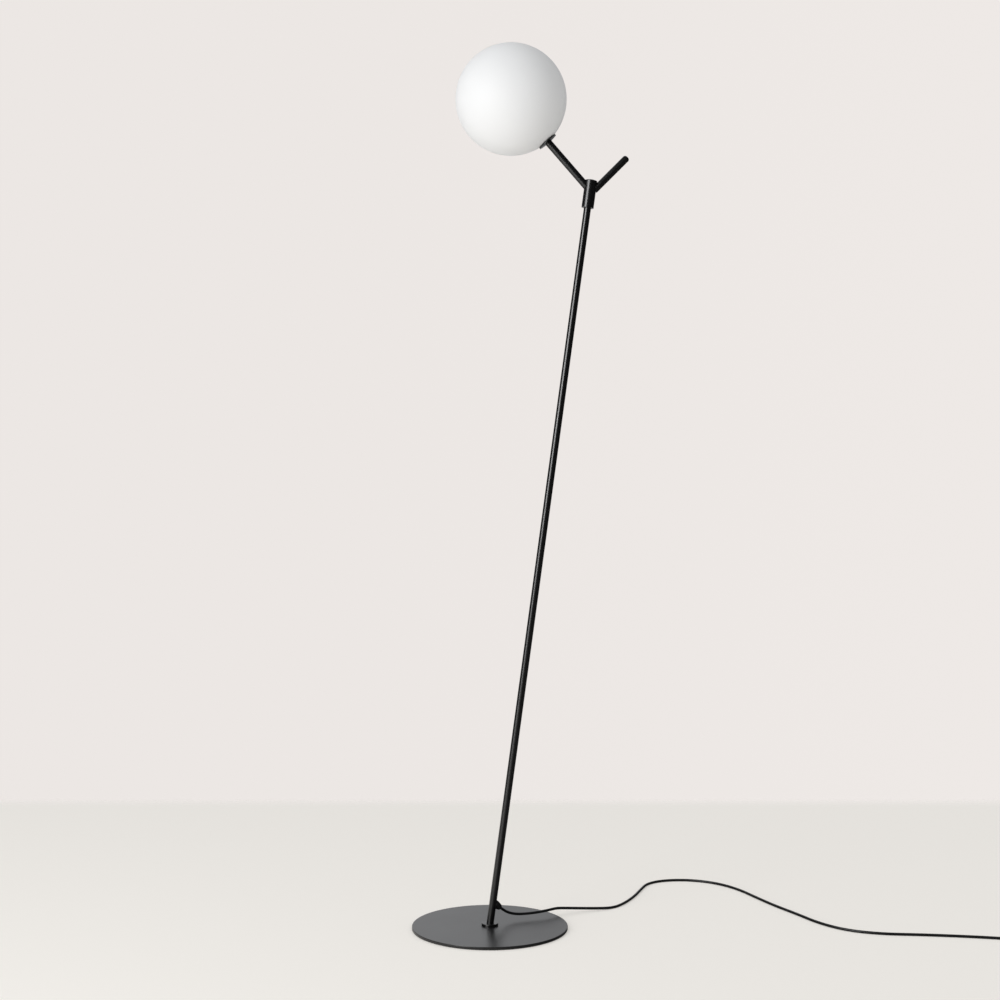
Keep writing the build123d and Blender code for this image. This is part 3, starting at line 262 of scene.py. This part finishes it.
def coil_points(travel):
    """Points of the coil for angles travelled from its start.

    The radius is the inner radius plus the pitch times the turns away from the middle, and the
    height climbs one layer by half a cosine in the half turn about the middle.  A curve of order
    3 cuts inside its points, so they stand further out by the share that it cuts.
    """
    away = (travel - math.pi * COIL_TURNS) / (2 * math.pi)
    inside = (3 + math.cos(2 * math.pi / POINTS_PER_TURN)) / 4
    radius = (COIL_INNER_R + COIL_PITCH * np.abs(away)) / inside
    climb = np.clip(2 * away + 0.5, 0, 1)
    height = COIL_Z + COIL_LAYER * (1 - np.cos(math.pi * climb)) / 2
    angle = math.pi - travel
    across = COIL_CENTRE[0] + radius * np.cos(angle)
    back = COIL_CENTRE[1] + radius * np.sin(angle)
    return np.column_stack([across, back, height])


whole_travel = 2 * math.pi * COIL_TURNS
travel = np.linspace(0, whole_travel, int(POINTS_PER_TURN * COIL_TURNS) + 1)
coil = coil_points(travel)
GROWTH_SLOPE = COIL_PITCH / (2 * math.pi) / (COIL_INNER_R + COIL_PITCH * COIL_TURNS / 2)
into_coil = unit((GROWTH_SLOPE, 1, 0))
out_of_coil = unit((GROWTH_SLOPE, -1, 0))
coil_outer = COIL_INNER_R + COIL_PITCH * COIL_TURNS / 2
coil_start = np.array([COIL_CENTRE[0] - coil_outer, COIL_CENTRE[1], COIL_Z])
coil_start = coil_start - COIL_LEAD * into_coil
coil_end = np.array([COIL_CENTRE[0] + coil_outer, COIL_CENTRE[1], COIL_Z + COIL_LAYER])
coil_end = coil_end + COIL_LEAD * out_of_coil

rest_points = [
    (SWITCH_X, SWITCH_Y + CORD_END, CORD_ENTRY_Z),
    (SWITCH_X, SWITCH_Y + CORD_END + 0.026, CORD_ENTRY_Z),
    coil_start - 0.026 * into_coil,
    coil_start,
    *coil[1:-1],
    coil_end,
    coil_end + 0.0255 * out_of_coil,
    (PLUG_X, PLUG_BACK_Y + 0.030, PLUG_Z),
    (PLUG_X, PLUG_BACK_Y, PLUG_Z),
]
rest = cord_curve("spare_lead_sheath", rest_points)
rest_length = line_length(centre_line(rest))
print(f"lead from the switch to the plug {rest_length:.3f} m")

# %% [markdown]
# ## The studio
#
# The lamp stands in a pale room: a warm white wall, a floor of nearly the same white, and a tall
# window to the left of the camera.  The floor is a wide disc that fades out at its rim, and the
# wall is the world's colour as the camera sees it, so that no edge stands in the picture from any
# side.  The world has two more sides.  One lights the lamp: brighter from above, from the left and
# from the front, because the globe in the photograph is 249 of 255 at its brightest and still 181
# on its far side.  The other is what glossy paint mirrors: dark all round, except for the wall
# straight behind, which shows grey in the flat base, and fainter to the right.


# %% Colours and nodes
def linear(hex_colour, alpha=1.0):
    """Linear RGBA of an sRGB hex colour.

    Each channel is c / 12.92 up to 0.04045, and ((c + 0.055) / 1.055) ** 2.4 above it.
    """
    channels = [int(hex_colour[i : i + 2], 16) / 255 for i in (1, 3, 5)]
    low = [c / 12.92 if c <= 0.04045 else ((c + 0.055) / 1.055) ** 2.4 for c in channels]
    return (*low, alpha)


def add_node(tree, kind, inputs=None, **settings):
    """Adds one node: settings are its properties, inputs gives a socket a value or a link."""
    new = tree.nodes.new(kind)
    for name, value in settings.items():
        setattr(new, name, value)
    for socket, value in (inputs or {}).items():
        if isinstance(value, bpy.types.NodeSocket):
            tree.links.new(value, new.inputs[socket])
        else:
            new.inputs[socket].default_value = value
    return new


# %% World
WALL = linear("#ece7e4")
MIRRORED_WALL = linear("#e9eaec")
ROOM_LIGHT = 0.48
FROM_LEFT = 0.05
FROM_ABOVE = 0.20
FROM_FRONT = 0.04
WALL_RIGHT_GAIN = 1.018
MIRRORED_LEFT, MIRRORED_RIGHT = 1.34, 0.42  # the wall behind, in glossy paint
MIRRORED_ROOM = 0.03  # the rest of the room, in glossy paint


def weigh(tree, value, low, high, at_low, at_high):
    """Smooth step from at_low to at_high while a value goes from low to high."""
    step = add_node(
        tree,
        "ShaderNodeMapRange",
        {"Value": value, "From Min": low, "From Max": high, "To Min": at_low, "To Max": at_high},
        interpolation_type="SMOOTHSTEP",
    )
    return step.outputs["Result"]


world = bpy.data.worlds.new("pale_room")
world.use_nodes = True
bpy.context.scene.world = world
tree = world.node_tree
tree.nodes.clear()
direction = add_node(tree, "ShaderNodeTexCoord").outputs["Generated"]
split = add_node(tree, "ShaderNodeSeparateXYZ", {"Vector": direction})
slope = (-FROM_LEFT, -FROM_FRONT, FROM_ABOVE)
tilted = add_node(tree, "ShaderNodeVectorMath", {0: direction, 1: slope}, operation="DOT_PRODUCT")
shade = add_node(
    tree, "ShaderNodeMath", {0: tilted.outputs["Value"], 1: ROOM_LIGHT}, operation="ADD"
)
room = add_node(
    tree, "ShaderNodeBackground", {"Color": linear("#ffffff"), "Strength": shade.outputs[0]}
)
sideways = add_node(tree, "ShaderNodeMath", {0: split.outputs["X"]}, operation="ABSOLUTE")
narrow = weigh(tree, sideways.outputs[0], 0.2, 0.55, 1.0, 0.0)
behind = weigh(tree, split.outputs["Y"], 0.0, 0.3, 0.0, 1.0)
patch = add_node(tree, "ShaderNodeMath", {0: narrow, 1: behind}, operation="MULTIPLY")
leftwards = weigh(tree, split.outputs["X"], -0.4, 0.4, MIRRORED_LEFT, MIRRORED_RIGHT)
patch = add_node(tree, "ShaderNodeMath", {0: patch.outputs[0], 1: leftwards}, operation="MULTIPLY")
mirrored = add_node(
    tree, "ShaderNodeMath", {0: patch.outputs[0], 1: MIRRORED_ROOM}, operation="ADD"
)
mirror_side = add_node(
    tree, "ShaderNodeBackground", {"Color": MIRRORED_WALL, "Strength": mirrored.outputs[0]}
)
brighter = weigh(tree, split.outputs["X"], -0.1, 0.3, 1.0, WALL_RIGHT_GAIN)
wall = add_node(tree, "ShaderNodeBackground", {"Color": WALL, "Strength": brighter})
light_path = add_node(tree, "ShaderNodeLightPath")
lit = add_node(
    tree,
    "ShaderNodeMixShader",
    {0: light_path.outputs["Is Glossy Ray"], 1: room.outputs[0], 2: mirror_side.outputs[0]},
)
seen = add_node(
    tree,
    "ShaderNodeMixShader",
    {0: light_path.outputs["Is Camera Ray"], 1: lit.outputs[0], 2: wall.outputs[0]},
)
add_node(tree, "ShaderNodeOutputWorld", {"Surface": seen.outputs[0]})
print("world", world.name)

# %% [markdown]
# ## Window and floor
#
# The stripe that the window draws on the pole is 120 of 255 in its upper half and 54 at the
# foot, and the underside of the arm hardly shows one.  So the window is three lights: one lights
# matte surfaces and isn't mirrored, and two panes, a bright one high up and a weak one near the
# floor, are only seen as mirror images.  The floor's right side is a painted dark reflection: in
# mirror images it shows a dim glow instead of its lit colour.  The floor also has a share of
# painted light, a glow that fills in every shadow and grows a little brighter to the right.


# %% Window light
def softbox(name, place, target, size, watts):
    """Rectangular area light at a place, facing a target."""
    light = bpy.data.lights.new(name, "AREA")
    light.shape = "RECTANGLE"
    light.size, light.size_y = size
    light.energy = watts
    lamp = bpy.data.objects.new(name, light)
    lamp.location = place
    lamp.rotation_euler = (Vector(target) - Vector(place)).to_track_quat("-Z", "Y").to_euler()
    bpy.context.scene.collection.objects.link(lamp)
    return lamp


WINDOW_AT, WINDOW_SIZE, WINDOW_WATTS = (-2.0, -2.14, 1.45), (1.5, 2.0), 40
UPPER_AT, UPPER_SIZE, UPPER_WATTS = (-1.95, -2.18, 1.68), (1.7, 1.5), 72
LOWER_AT, LOWER_SIZE, LOWER_WATTS = (-2.15, -1.98, 0.62), (1.2, 0.8), 11

window = softbox("window", WINDOW_AT, (0.1, 0.0, 1.1), WINDOW_SIZE, WINDOW_WATTS)
window.visible_glossy = False
upper_pane = softbox("upper_pane", UPPER_AT, (0.1, 0.0, 1.2), UPPER_SIZE, UPPER_WATTS)
lower_pane = softbox("lower_pane", LOWER_AT, (0.1, 0.0, 0.6), LOWER_SIZE, LOWER_WATTS)
for pane in (upper_pane, lower_pane):
    pane.visible_diffuse = False
print("window", window.data.energy, "W", "mirrored", upper_pane.data.energy, "W")

# %% Floor
FLOOR = "#e9e6e1"
# Painted light: this share of the floor's colour glows, so that no shadow darkens it.
FLOOR_PAINTED_LIGHT = 0.45  # share of the floor's colour that no shadow takes away
FLOOR_GAIN = 1.33
MIRRORED_FLOOR = 0.02  # the floor's right side, in glossy paint
FLOOR_RADIUS = 7.0
WALL_AT = 1.096
FADE_FROM, FADE_TO = 2.2, 4.5

floor_mesh = bpy.data.meshes.new("studio_floor")
turn = np.linspace(0, 2 * math.pi, 96, endpoint=False)
rim = np.column_stack([FLOOR_RADIUS * np.cos(turn), FLOOR_RADIUS * np.sin(turn), 0 * turn])
floor_mesh.from_pydata(rim.tolist(), [], [list(range(len(rim)))])
studio_floor = bpy.data.objects.new("studio_floor", floor_mesh)
bpy.context.scene.collection.objects.link(studio_floor)

painted_floor = bpy.data.materials.new("pale_painted_floor")
painted_floor.use_nodes = True
tree = painted_floor.node_tree
tree.nodes.clear()
place = add_node(tree, "ShaderNodeTexCoord").outputs["Object"]
split = add_node(tree, "ShaderNodeSeparateXYZ", {"Vector": place})
behind = weigh(tree, split.outputs["Y"], WALL_AT - 0.03, WALL_AT + 0.09, 0.0, 1.0)
distance = add_node(tree, "ShaderNodeVectorMath", {0: place}, operation="LENGTH")
far = weigh(tree, distance.outputs["Value"], FADE_FROM, FADE_TO, 0.0, 1.0)
faded = add_node(tree, "ShaderNodeMath", {0: behind, 1: far}, operation="MAXIMUM")
red, green, blue, _ = linear(FLOOR)
share = FLOOR_GAIN * (1 - FLOOR_PAINTED_LIGHT)
# Painted light: the floor's glow grows a little brighter to the right.
painted_light_to_right = weigh(tree, split.outputs["X"], -0.5, 1.5, FLOOR_PAINTED_LIGHT - 0.005, FLOOR_PAINTED_LIGHT + 0.025)
matte = add_node(
    tree, "ShaderNodeBsdfDiffuse", {"Color": (red * share, green * share, blue * share, 1.0)}
)
painted_glow = add_node(tree, "ShaderNodeEmission", {"Color": linear(FLOOR), "Strength": painted_light_to_right})
paint = add_node(tree, "ShaderNodeAddShader", {0: matte.outputs[0], 1: painted_glow.outputs[0]})
light_path = add_node(tree, "ShaderNodeLightPath")
# Painted dark reflection: glossy rays see the floor's right side as a dim glow instead of its lit
# colour.
painted_dark_reflection = weigh(tree, split.outputs["X"], -0.25, 0.15, 0.0, 0.9)
unmirrored = add_node(
    tree,
    "ShaderNodeMath",
    {0: painted_dark_reflection, 1: light_path.outputs["Is Glossy Ray"]},
    operation="MULTIPLY",
)
dim = add_node(tree, "ShaderNodeEmission", {"Color": linear(FLOOR), "Strength": MIRRORED_FLOOR})
paint = add_node(
    tree, "ShaderNodeMixShader", {0: unmirrored.outputs[0], 1: paint.outputs[0], 2: dim.outputs[0]}
)
clear = add_node(tree, "ShaderNodeBsdfTransparent")
covering = add_node(
    tree, "ShaderNodeMixShader", {0: faded.outputs[0], 1: paint.outputs[0], 2: clear.outputs[0]}
)
add_node(tree, "ShaderNodeOutputMaterial", {"Surface": covering.outputs[0]})
floor_mesh.materials.append(painted_floor)
print("floor", FLOOR)

# %% [markdown]
# ## Finishes
#
# A finish is one Principled surface.  Two noises on the object's own coordinates, with sizes
# given in real millimetres, keep it from looking like a flat colour: a wide one lets the tone
# and the roughness wander, as every coat and moulding does, and a fine one is the grain, which
# only tilts the light.


# %% One surface for all finishes
MM = 0.001


def noise(tree, size, detail=2.0):
    """Noise on object coordinates with lumps of a size in metres, from 0 to 1."""
    place = add_node(tree, "ShaderNodeTexCoord").outputs["Object"]
    lumps = add_node(
        tree, "ShaderNodeTexNoise", {"Vector": place, "Scale": 1 / size, "Detail": detail}
    )
    return lumps.outputs["Fac"]


def surface(name, colour, roughness, grain, depth, patch=25 * MM, tone=0.08, wander=0.04, **more):
    """Material with a colour, a roughness, and a grain of a size and a depth in metres.

    The colour runs between (1 - tone) and (1 + tone) times its value, and the roughness by
    wander to each side, with the wide noise.  The fine noise times the depth is the bump.
    """
    material = bpy.data.materials.new(name)
    material.use_nodes = True
    tree = material.node_tree
    tree.nodes.clear()
    wide = noise(tree, patch)
    red, green, blue, _ = linear(colour)
    dark = tuple(c * (1 - tone) for c in (red, green, blue)) + (1.0,)
    light = tuple(min(c * (1 + tone), 1.0) for c in (red, green, blue)) + (1.0,)
    toned = add_node(tree, "ShaderNodeMix", data_type="RGBA")
    tree.links.new(wide, toned.inputs["Factor"])
    toned.inputs[6].default_value = dark
    toned.inputs[7].default_value = light
    rough = add_node(
        tree,
        "ShaderNodeMapRange",
        {"Value": wide, "To Min": roughness - wander, "To Max": roughness + wander},
    )
    height = noise(tree, grain)
    relief = add_node(tree, "ShaderNodeBump", {"Height": height, "Distance": depth})
    shader = add_node(
        tree,
        "ShaderNodeBsdfPrincipled",
        {
            "Base Color": toned.outputs[2],
            "Roughness": rough.outputs["Result"],
            "Normal": relief.outputs["Normal"],
            **more,
        },
    )
    add_node(tree, "ShaderNodeOutputMaterial", {"Surface": shader.outputs[0]})
    return material


# %% [markdown]
# ## Steel under a satin black powder coat
#
# Base, pole, hub, arms and dish are steel, blasted and powder coated.  The powder melts into a
# skin with a slight orange peel about a millimetre wide, so mirror images are soft but still
# there: the wall shows grey in the flat base, and the window is one narrow stripe on the pole.

# %% Powder coat
powder_coat = surface(
    "satin_black_powder_coat",
    "#09090a",
    0.28,
    grain=1.1 * MM,
    depth=0.004 * MM,
    patch=60 * MM,
    wander=0.02,
    **{"Specular IOR Level": 0.7},
)
plate_coat = surface(
    "satin_black_powder_coat_lying_flat",
    "#09090a",
    0.32,
    grain=1.3 * MM,
    depth=0.005 * MM,
    patch=60 * MM,
    wander=0.02,
    **{"Specular IOR Level": 0.84},
)
print(powder_coat.name)

# %% [markdown]
# ## Rubber, PVC and moulded plastics
#
# The lead's sheath is extruded PVC, smooth and a little waxy.  The reliefs are a soft matte TPE.
# Switch and plug are ABS from a spark-eroded mould, whose fine pits scatter light, except for
# the polished button.  The pad under the base is closed-cell foam, and the strap is woven nylon.

# %% Black plastics
pvc_sheath = surface("extruded_black_pvc", "#131313", 0.40, grain=2.5 * MM, depth=0.004 * MM)
soft_tpe = surface("matte_black_tpe", "#171717", 0.62, grain=0.5 * MM, depth=0.02 * MM)
pitted_abs = surface("spark_pitted_black_abs", "#161617", 0.50, grain=0.6 * MM, depth=0.03 * MM)
polished_abs = surface("polished_black_abs", "#101011", 0.16, grain=6 * MM, depth=0.004 * MM)
foam = surface("closed_cell_foam", "#191919", 0.92, grain=0.7 * MM, depth=0.10 * MM, tone=0.2)
strap_nylon = surface(
    "brushed_loop_nylon", "#1b1b1d", 0.88, grain=0.4 * MM, depth=0.15 * MM, tone=0.3
)

# %% [markdown]
# ## Metals inside the lamp
#
# Screws, bracket, nut and springs are zinc-plated steel, blue-white and slightly cloudy.  The
# nipples and contacts are drawn brass, the plug's pins are brass under bright nickel, and the
# collar is turned aluminium with a fine feed mark.

# %% Metals
zinc_plate = surface(
    "zinc_plated_steel",
    "#c3c7ca",
    0.30,
    grain=1.5 * MM,
    depth=0.004 * MM,
    Metallic=1.0,
    wander=0.08,
)
drawn_brass = surface(
    "drawn_brass", "#c9a75c", 0.27, grain=0.6 * MM, depth=0.004 * MM, Metallic=1.0, wander=0.06
)
bright_nickel = surface(
    "bright_nickel_plate", "#cfcac0", 0.14, grain=1.0 * MM, depth=0.002 * MM, Metallic=1.0
)
turned_aluminium = surface(
    "turned_aluminium", "#cfd1d4", 0.30, grain=0.35 * MM, depth=0.008 * MM, Metallic=1.0
)

# %% [markdown]
# ## Pale insulators
#
# The swivel's sleeve and ferrule are natural nylon, cream and a little see-through.  The
# lampholder is pressed steatite, chalky to the touch, the bulb's cap is white PBT, and the ring
# between dish and glass is milky silicone.  The bulb's chips hide under yellow phosphor.

# %% Pale plastics and ceramic
natural_nylon = surface(
    "natural_nylon", "#e6e1d2", 0.45, grain=1.2 * MM, depth=0.01 * MM, tone=0.03
)
steatite = surface(
    "pressed_steatite", "#e7e2d6", 0.78, grain=0.4 * MM, depth=0.03 * MM, tone=0.03
)
white_pbt = surface("white_pbt", "#ecebe6", 0.38, grain=1.0 * MM, depth=0.006 * MM, tone=0.02)
silicone = surface("milky_silicone", "#d8d8d4", 0.50, grain=2.0 * MM, depth=0.01 * MM, tone=0.03)
phosphor = surface("yellow_phosphor", "#e2b93c", 0.80, grain=0.3 * MM, depth=0.02 * MM)
quartz = surface(
    "clear_quartz",
    "#ffffff",
    0.03,
    grain=8 * MM,
    depth=0.002 * MM,
    tone=0.0,
    wander=0.01,
    IOR=1.46,
    **{"Transmission Weight": 1.0},
)

# %% [markdown]
# ## Etched opal glass
#
# The globe is blown opal glass: a thin milky layer that lets light through but no image, with a
# surface etched in acid.  It has no sharp mirror image at all.  Light spreads inside the milky
# layer, so the shaded side stays pale.

# %% Opal glass
opal_glass = surface(
    "acid_etched_opal_glass",
    "#f3f4f5",
    0.60,
    grain=0.8 * MM,
    depth=0.004 * MM,
    patch=70 * MM,
    tone=0.004,
    wander=0.03,
    **{"Specular IOR Level": 0.25},
)

# %% Finishes for the CAD nodes
FINISHES = {
    "satin_black": powder_coat,
    "black_foam": foam,
    "zinc_steel": zinc_plate,
    "plain_brass": drawn_brass,
    "nickel_brass": bright_nickel,
    "white_nylon": natural_nylon,
    "turned_aluminium": turned_aluminium,
    "clear_silicone": silicone,
    "white_ceramic": steatite,
    "opal_glass": opal_glass,
    "clear_glass": quartz,
    "white_plastic": white_pbt,
    "yellow_plastic": phosphor,
    "black_rubber": pvc_sheath,
    "black_plastic": pitted_abs,
    "gloss_black_plastic": polished_abs,
}
nodes = frame["nodes"]
node_slots = {entry["node"]: entry["material_slot"] for entry in frame["record"]["subparts"]}
OWN_FINISHES = {
    "base_plate": plate_coat,
    "coil_tie": strap_nylon,
    "strain_relief": soft_tpe,
    "plug_relief": soft_tpe,
}


def dress(piece, material):
    """Gives a piece one material."""
    piece.data.materials.clear()
    piece.data.materials.append(material)


for name, slot_name in node_slots.items():
    dress(nodes[name], OWN_FINISHES.get(name, FINISHES[slot_name]))
dress(lead, pvc_sheath)
dress(rest, pvc_sheath)
print("dressed", len(node_slots), "nodes")

# %% [markdown]
# ## Turned surfaces
#
# The globe and the ribbed reliefs are bodies of revolution.  A profile of distances from the
# axis and heights along it is carried round the axis: each grid point is the origin plus the
# height along the axis plus the distance times a direction that turns with the second parameter.


# %% Lathe
def face_outwards(mesh):
    """Joins points that coincide, turns all faces outwards and shades them smooth."""
    shell = bmesh.new()
    shell.from_mesh(mesh)
    bmesh.ops.remove_doubles(shell, verts=shell.verts, dist=1e-7)
    bmesh.ops.recalc_face_normals(shell, faces=shell.faces)
    shell.to_mesh(mesh)
    shell.free()
    mesh.shade_smooth()


def lathe(name, origin, axis, distance, height, segments):
    """Closed surface of revolution.

    point(i, j) = origin + height[i] * axis + distance[i] * ring[j], where
    ring[j] = side * cos(turn[j]) + other * sin(turn[j]).
    """
    axis = unit(axis)
    not_along = (1.0, 0.0, 0.0) if abs(axis[1]) > 0.9 else (0.0, 1.0, 0.0)
    side = unit(np.cross(axis, not_along))
    other = np.cross(axis, side)
    turn = np.linspace(0, 2 * math.pi, segments, endpoint=False)
    ring = np.cos(turn)[:, None] * side + np.sin(turn)[:, None] * other
    spots = (
        np.asarray(origin)
        + np.asarray(height)[:, None, None] * axis
        + np.asarray(distance)[:, None, None] * ring
    ).reshape(-1, 3)
    row, column = np.meshgrid(np.arange(len(height) - 1), np.arange(segments), indexing="ij")
    after = (column + 1) % segments
    faces = np.stack(
        [
            row * segments + column,
            row * segments + after,
            (row + 1) * segments + after,
            (row + 1) * segments + column,
        ],
        axis=-1,
    ).reshape(-1, 4)
    mesh = bpy.data.meshes.new(name)
    mesh.from_pydata(spots.tolist(), [], faces.tolist())
    face_outwards(mesh)
    piece = bpy.data.objects.new(name, mesh)
    bpy.context.scene.collection.objects.link(piece)
    return piece


def arc(centre_distance, centre_height, radius, start, end, steps):
    """Distances and heights of an arc in the profile plane; its angle is taken from the axis."""
    angle = np.linspace(math.radians(start), math.radians(end), steps)
    return centre_distance + radius * np.sin(angle), centre_height + radius * np.cos(angle)


# %% [markdown]
# ## The blown globe
#
# The glass is 3 mm thick, and its mouth is turned inwards into a short straight neck that grips
# the collar.  In the profile the outer sphere runs from the mouth to the far pole, the inner one
# comes back, and the neck's end is melted round, as a glassblower leaves it.

# %% Globe
GLASS_T = 0.003
NECK_BORE = 0.013
NECK_OUTER = 0.0156
NECK_END = -0.08415  # from the globe's centre, along the arm
LIP = 0.0012

mouth = 180 - math.degrees(math.asin((NECK_BORE + LIP) / GLOBE_R))
inner_start = 180 - math.degrees(math.asin(NECK_OUTER / (GLOBE_R - GLASS_T)))
outer = arc(0, 0, GLOBE_R, mouth, 0, 150)
inner = arc(0, 0, GLOBE_R - GLASS_T, 0, inner_start, 120)
end_r = (NECK_OUTER - NECK_BORE) / 2
neck_end = arc(NECK_BORE + end_r, NECK_END - end_r, end_r, 90, -90, 14)
lip_height = float(outer[1][0]) + LIP
lip = arc(NECK_BORE + LIP, lip_height, LIP, 270, 186, 8)
glass_distance = np.concatenate([outer[0], inner[0], neck_end[0], lip[0], outer[0][:1]])
glass_height = np.concatenate([outer[1], inner[1], neck_end[1], lip[1], outer[1][:1]])
globe = lathe("blown_globe", globe_centre, arm_out, glass_distance, glass_height, 192)
dress(globe, opal_glass)
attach(globe, "globe")
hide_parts("globe_glass")
print("globe", len(globe.data.polygons), "faces")

# %% [markdown]
# ## Ribbed reliefs
#
# Where the lead leaves the pole and the plug, a tapered sleeve of soft TPE keeps it from
# kinking.  Round grooves let it bend: the radius runs straight from root to end, less a groove
# depth times half a cosine around each groove.

# %% Ribbed sleeve
GROOVE_DEPTH = 0.00095
GROOVE_HALF = 0.00085
END_ROUND = 0.0006


def ribbed_sleeve(name, origin, axis, start, taper_start, end, root_r, end_r, bore_r, grooves):
    """Tapered sleeve along an axis, with round grooves between its ribs.

    radius(t) = root + (end - root) * share(t) - depth * (1 + cos(pi * d / half)) / 2, where d is
    the distance to the nearest groove and counts up to half a groove's width.
    """
    depth, half = GROOVE_DEPTH, GROOVE_HALF
    t = np.linspace(start, end, 160)
    share = np.clip((t - taper_start) / (end - taper_start), 0, 1)
    spots = taper_start + np.asarray(grooves) * (end - taper_start)
    near = np.clip(np.abs(t[:, None] - spots).min(axis=1), 0, half)
    radius = root_r + (end_r - root_r) * share - depth * (1 + np.cos(math.pi * near / half)) / 2
    edge = np.clip((end - t) / END_ROUND, 0, 1)
    radius = radius - END_ROUND * (1 - np.sqrt(1 - (1 - edge) ** 2))
    distance = np.concatenate([[bore_r], radius, [bore_r], [bore_r]])
    height = np.concatenate([[start], t, [end], [start]])
    piece = lathe(name, origin, axis, distance, height, 48)
    dress(piece, soft_tpe)
    return piece


# %% Relief in the pole
relief = ribbed_sleeve(
    "pole_relief",
    relief_root,
    relief_out,
    start=0.0030,
    taper_start=0.0096,
    end=RELIEF_REACH,
    root_r=0.0074,
    end_r=0.0056,
    bore_r=0.00253,
    grooves=(0.18, 0.39, 0.60, 0.81),
)
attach(relief, "stand")
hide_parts("strain_relief")

# %% Relief on the plug
plug_relief = ribbed_sleeve(
    "plug_sleeve",
    (PLUG_X, PLUG_BACK_Y, PLUG_Z),
    (0, 1, 0),
    start=0.0,
    taper_start=0.002,
    end=0.022,
    root_r=0.0055,
    end_r=0.0038,
    bore_r=0.00265,
    grooves=(0.12, 0.29, 0.46, 0.63, 0.80),
)
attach(plug_relief, "stand")
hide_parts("plug_relief")
print("reliefs", relief.name, plug_relief.name)

# %% [markdown]
# ## The spring under the button
#
# A round wire of spring steel in four turns pushes the foot switch's button up.  When the button
# goes down, each turn of the real spring sinks by its share of the travel: the nearer to the block,
# the less.  Here the wire is one fixed helix with its turns evenly apart, filling the model's
# spring.

# %% Button spring
WIRE_R = 0.0004
SPRING_TURNS = 4
STEPS_PER_TURN = 36
WIRE_SIDES = 12


def coil_spring(name, low_corner, high_corner, wire_r, turns):
    """Round wire on a helix that fills a box.

    path(s) = centre + radius * (cos(2 pi turns s), sin(2 pi turns s)), at a height that grows
    evenly with s, and point(s, b) = path(s) + wire_r * (cos(b) * outwards + sin(b) * across).
    """
    low_corner, high_corner = np.asarray(low_corner, float), np.asarray(high_corner, float)
    centre = (low_corner + high_corner) / 2
    radius = (high_corner[0] - low_corner[0]) / 2 - wire_r
    share = np.linspace(0, 1, STEPS_PER_TURN * turns + 1)
    turn = 2 * math.pi * turns * share
    height = low_corner[2] + wire_r + share * (high_corner[2] - low_corner[2] - 2 * wire_r)
    outwards = np.column_stack([np.cos(turn), np.sin(turn), 0 * turn])
    path = radius * outwards + np.column_stack([0 * turn + centre[0], 0 * turn + centre[1], height])
    rise = (height[-1] - height[0]) / (2 * math.pi * turns * radius)
    onwards = np.column_stack([-np.sin(turn), np.cos(turn), 0 * turn + rise])
    across = np.cross(onwards / math.hypot(1, rise), outwards)
    around = np.linspace(0, 2 * math.pi, WIRE_SIDES, endpoint=False)[None, :, None]
    section = np.cos(around) * outwards[:, None] + np.sin(around) * across[:, None]
    spots = path[:, None] + wire_r * section
    row, side = np.meshgrid(np.arange(len(path) - 1), np.arange(WIRE_SIDES), indexing="ij")
    start, after = row * WIRE_SIDES, (side + 1) % WIRE_SIDES
    corners = [start + side, start + after, start + WIRE_SIDES + after, start + WIRE_SIDES + side]
    faces = np.stack(corners, axis=-1).reshape(-1, 4).tolist()
    last = (len(path) - 1) * WIRE_SIDES
    faces += [list(range(WIRE_SIDES)), list(range(last, last + WIRE_SIDES))]
    mesh = bpy.data.meshes.new(name)
    mesh.from_pydata(spots.reshape(-1, 3).tolist(), [], faces)
    face_outwards(mesh)
    piece = bpy.data.objects.new(name, mesh)
    bpy.context.scene.collection.objects.link(piece)
    return piece


spring_low, spring_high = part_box("switch_spring")
spring = coil_spring("button_spring", spring_low, spring_high, WIRE_R, SPRING_TURNS)
dress(spring, zinc_plate)
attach(spring, "stand")
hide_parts("switch_spring")
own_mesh(spring)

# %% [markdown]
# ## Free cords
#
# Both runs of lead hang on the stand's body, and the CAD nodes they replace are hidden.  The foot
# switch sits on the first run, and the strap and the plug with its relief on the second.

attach(lead, "stand")
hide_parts("mains_lead")

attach(rest, "stand")
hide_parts("switch_lead", "lead_coil", "lead_tail")

# %% [markdown]
# ## Finish
#
# Only the view transform is set here.

# %% Finish
bpy.context.scene.view_settings.view_transform = "Standard"
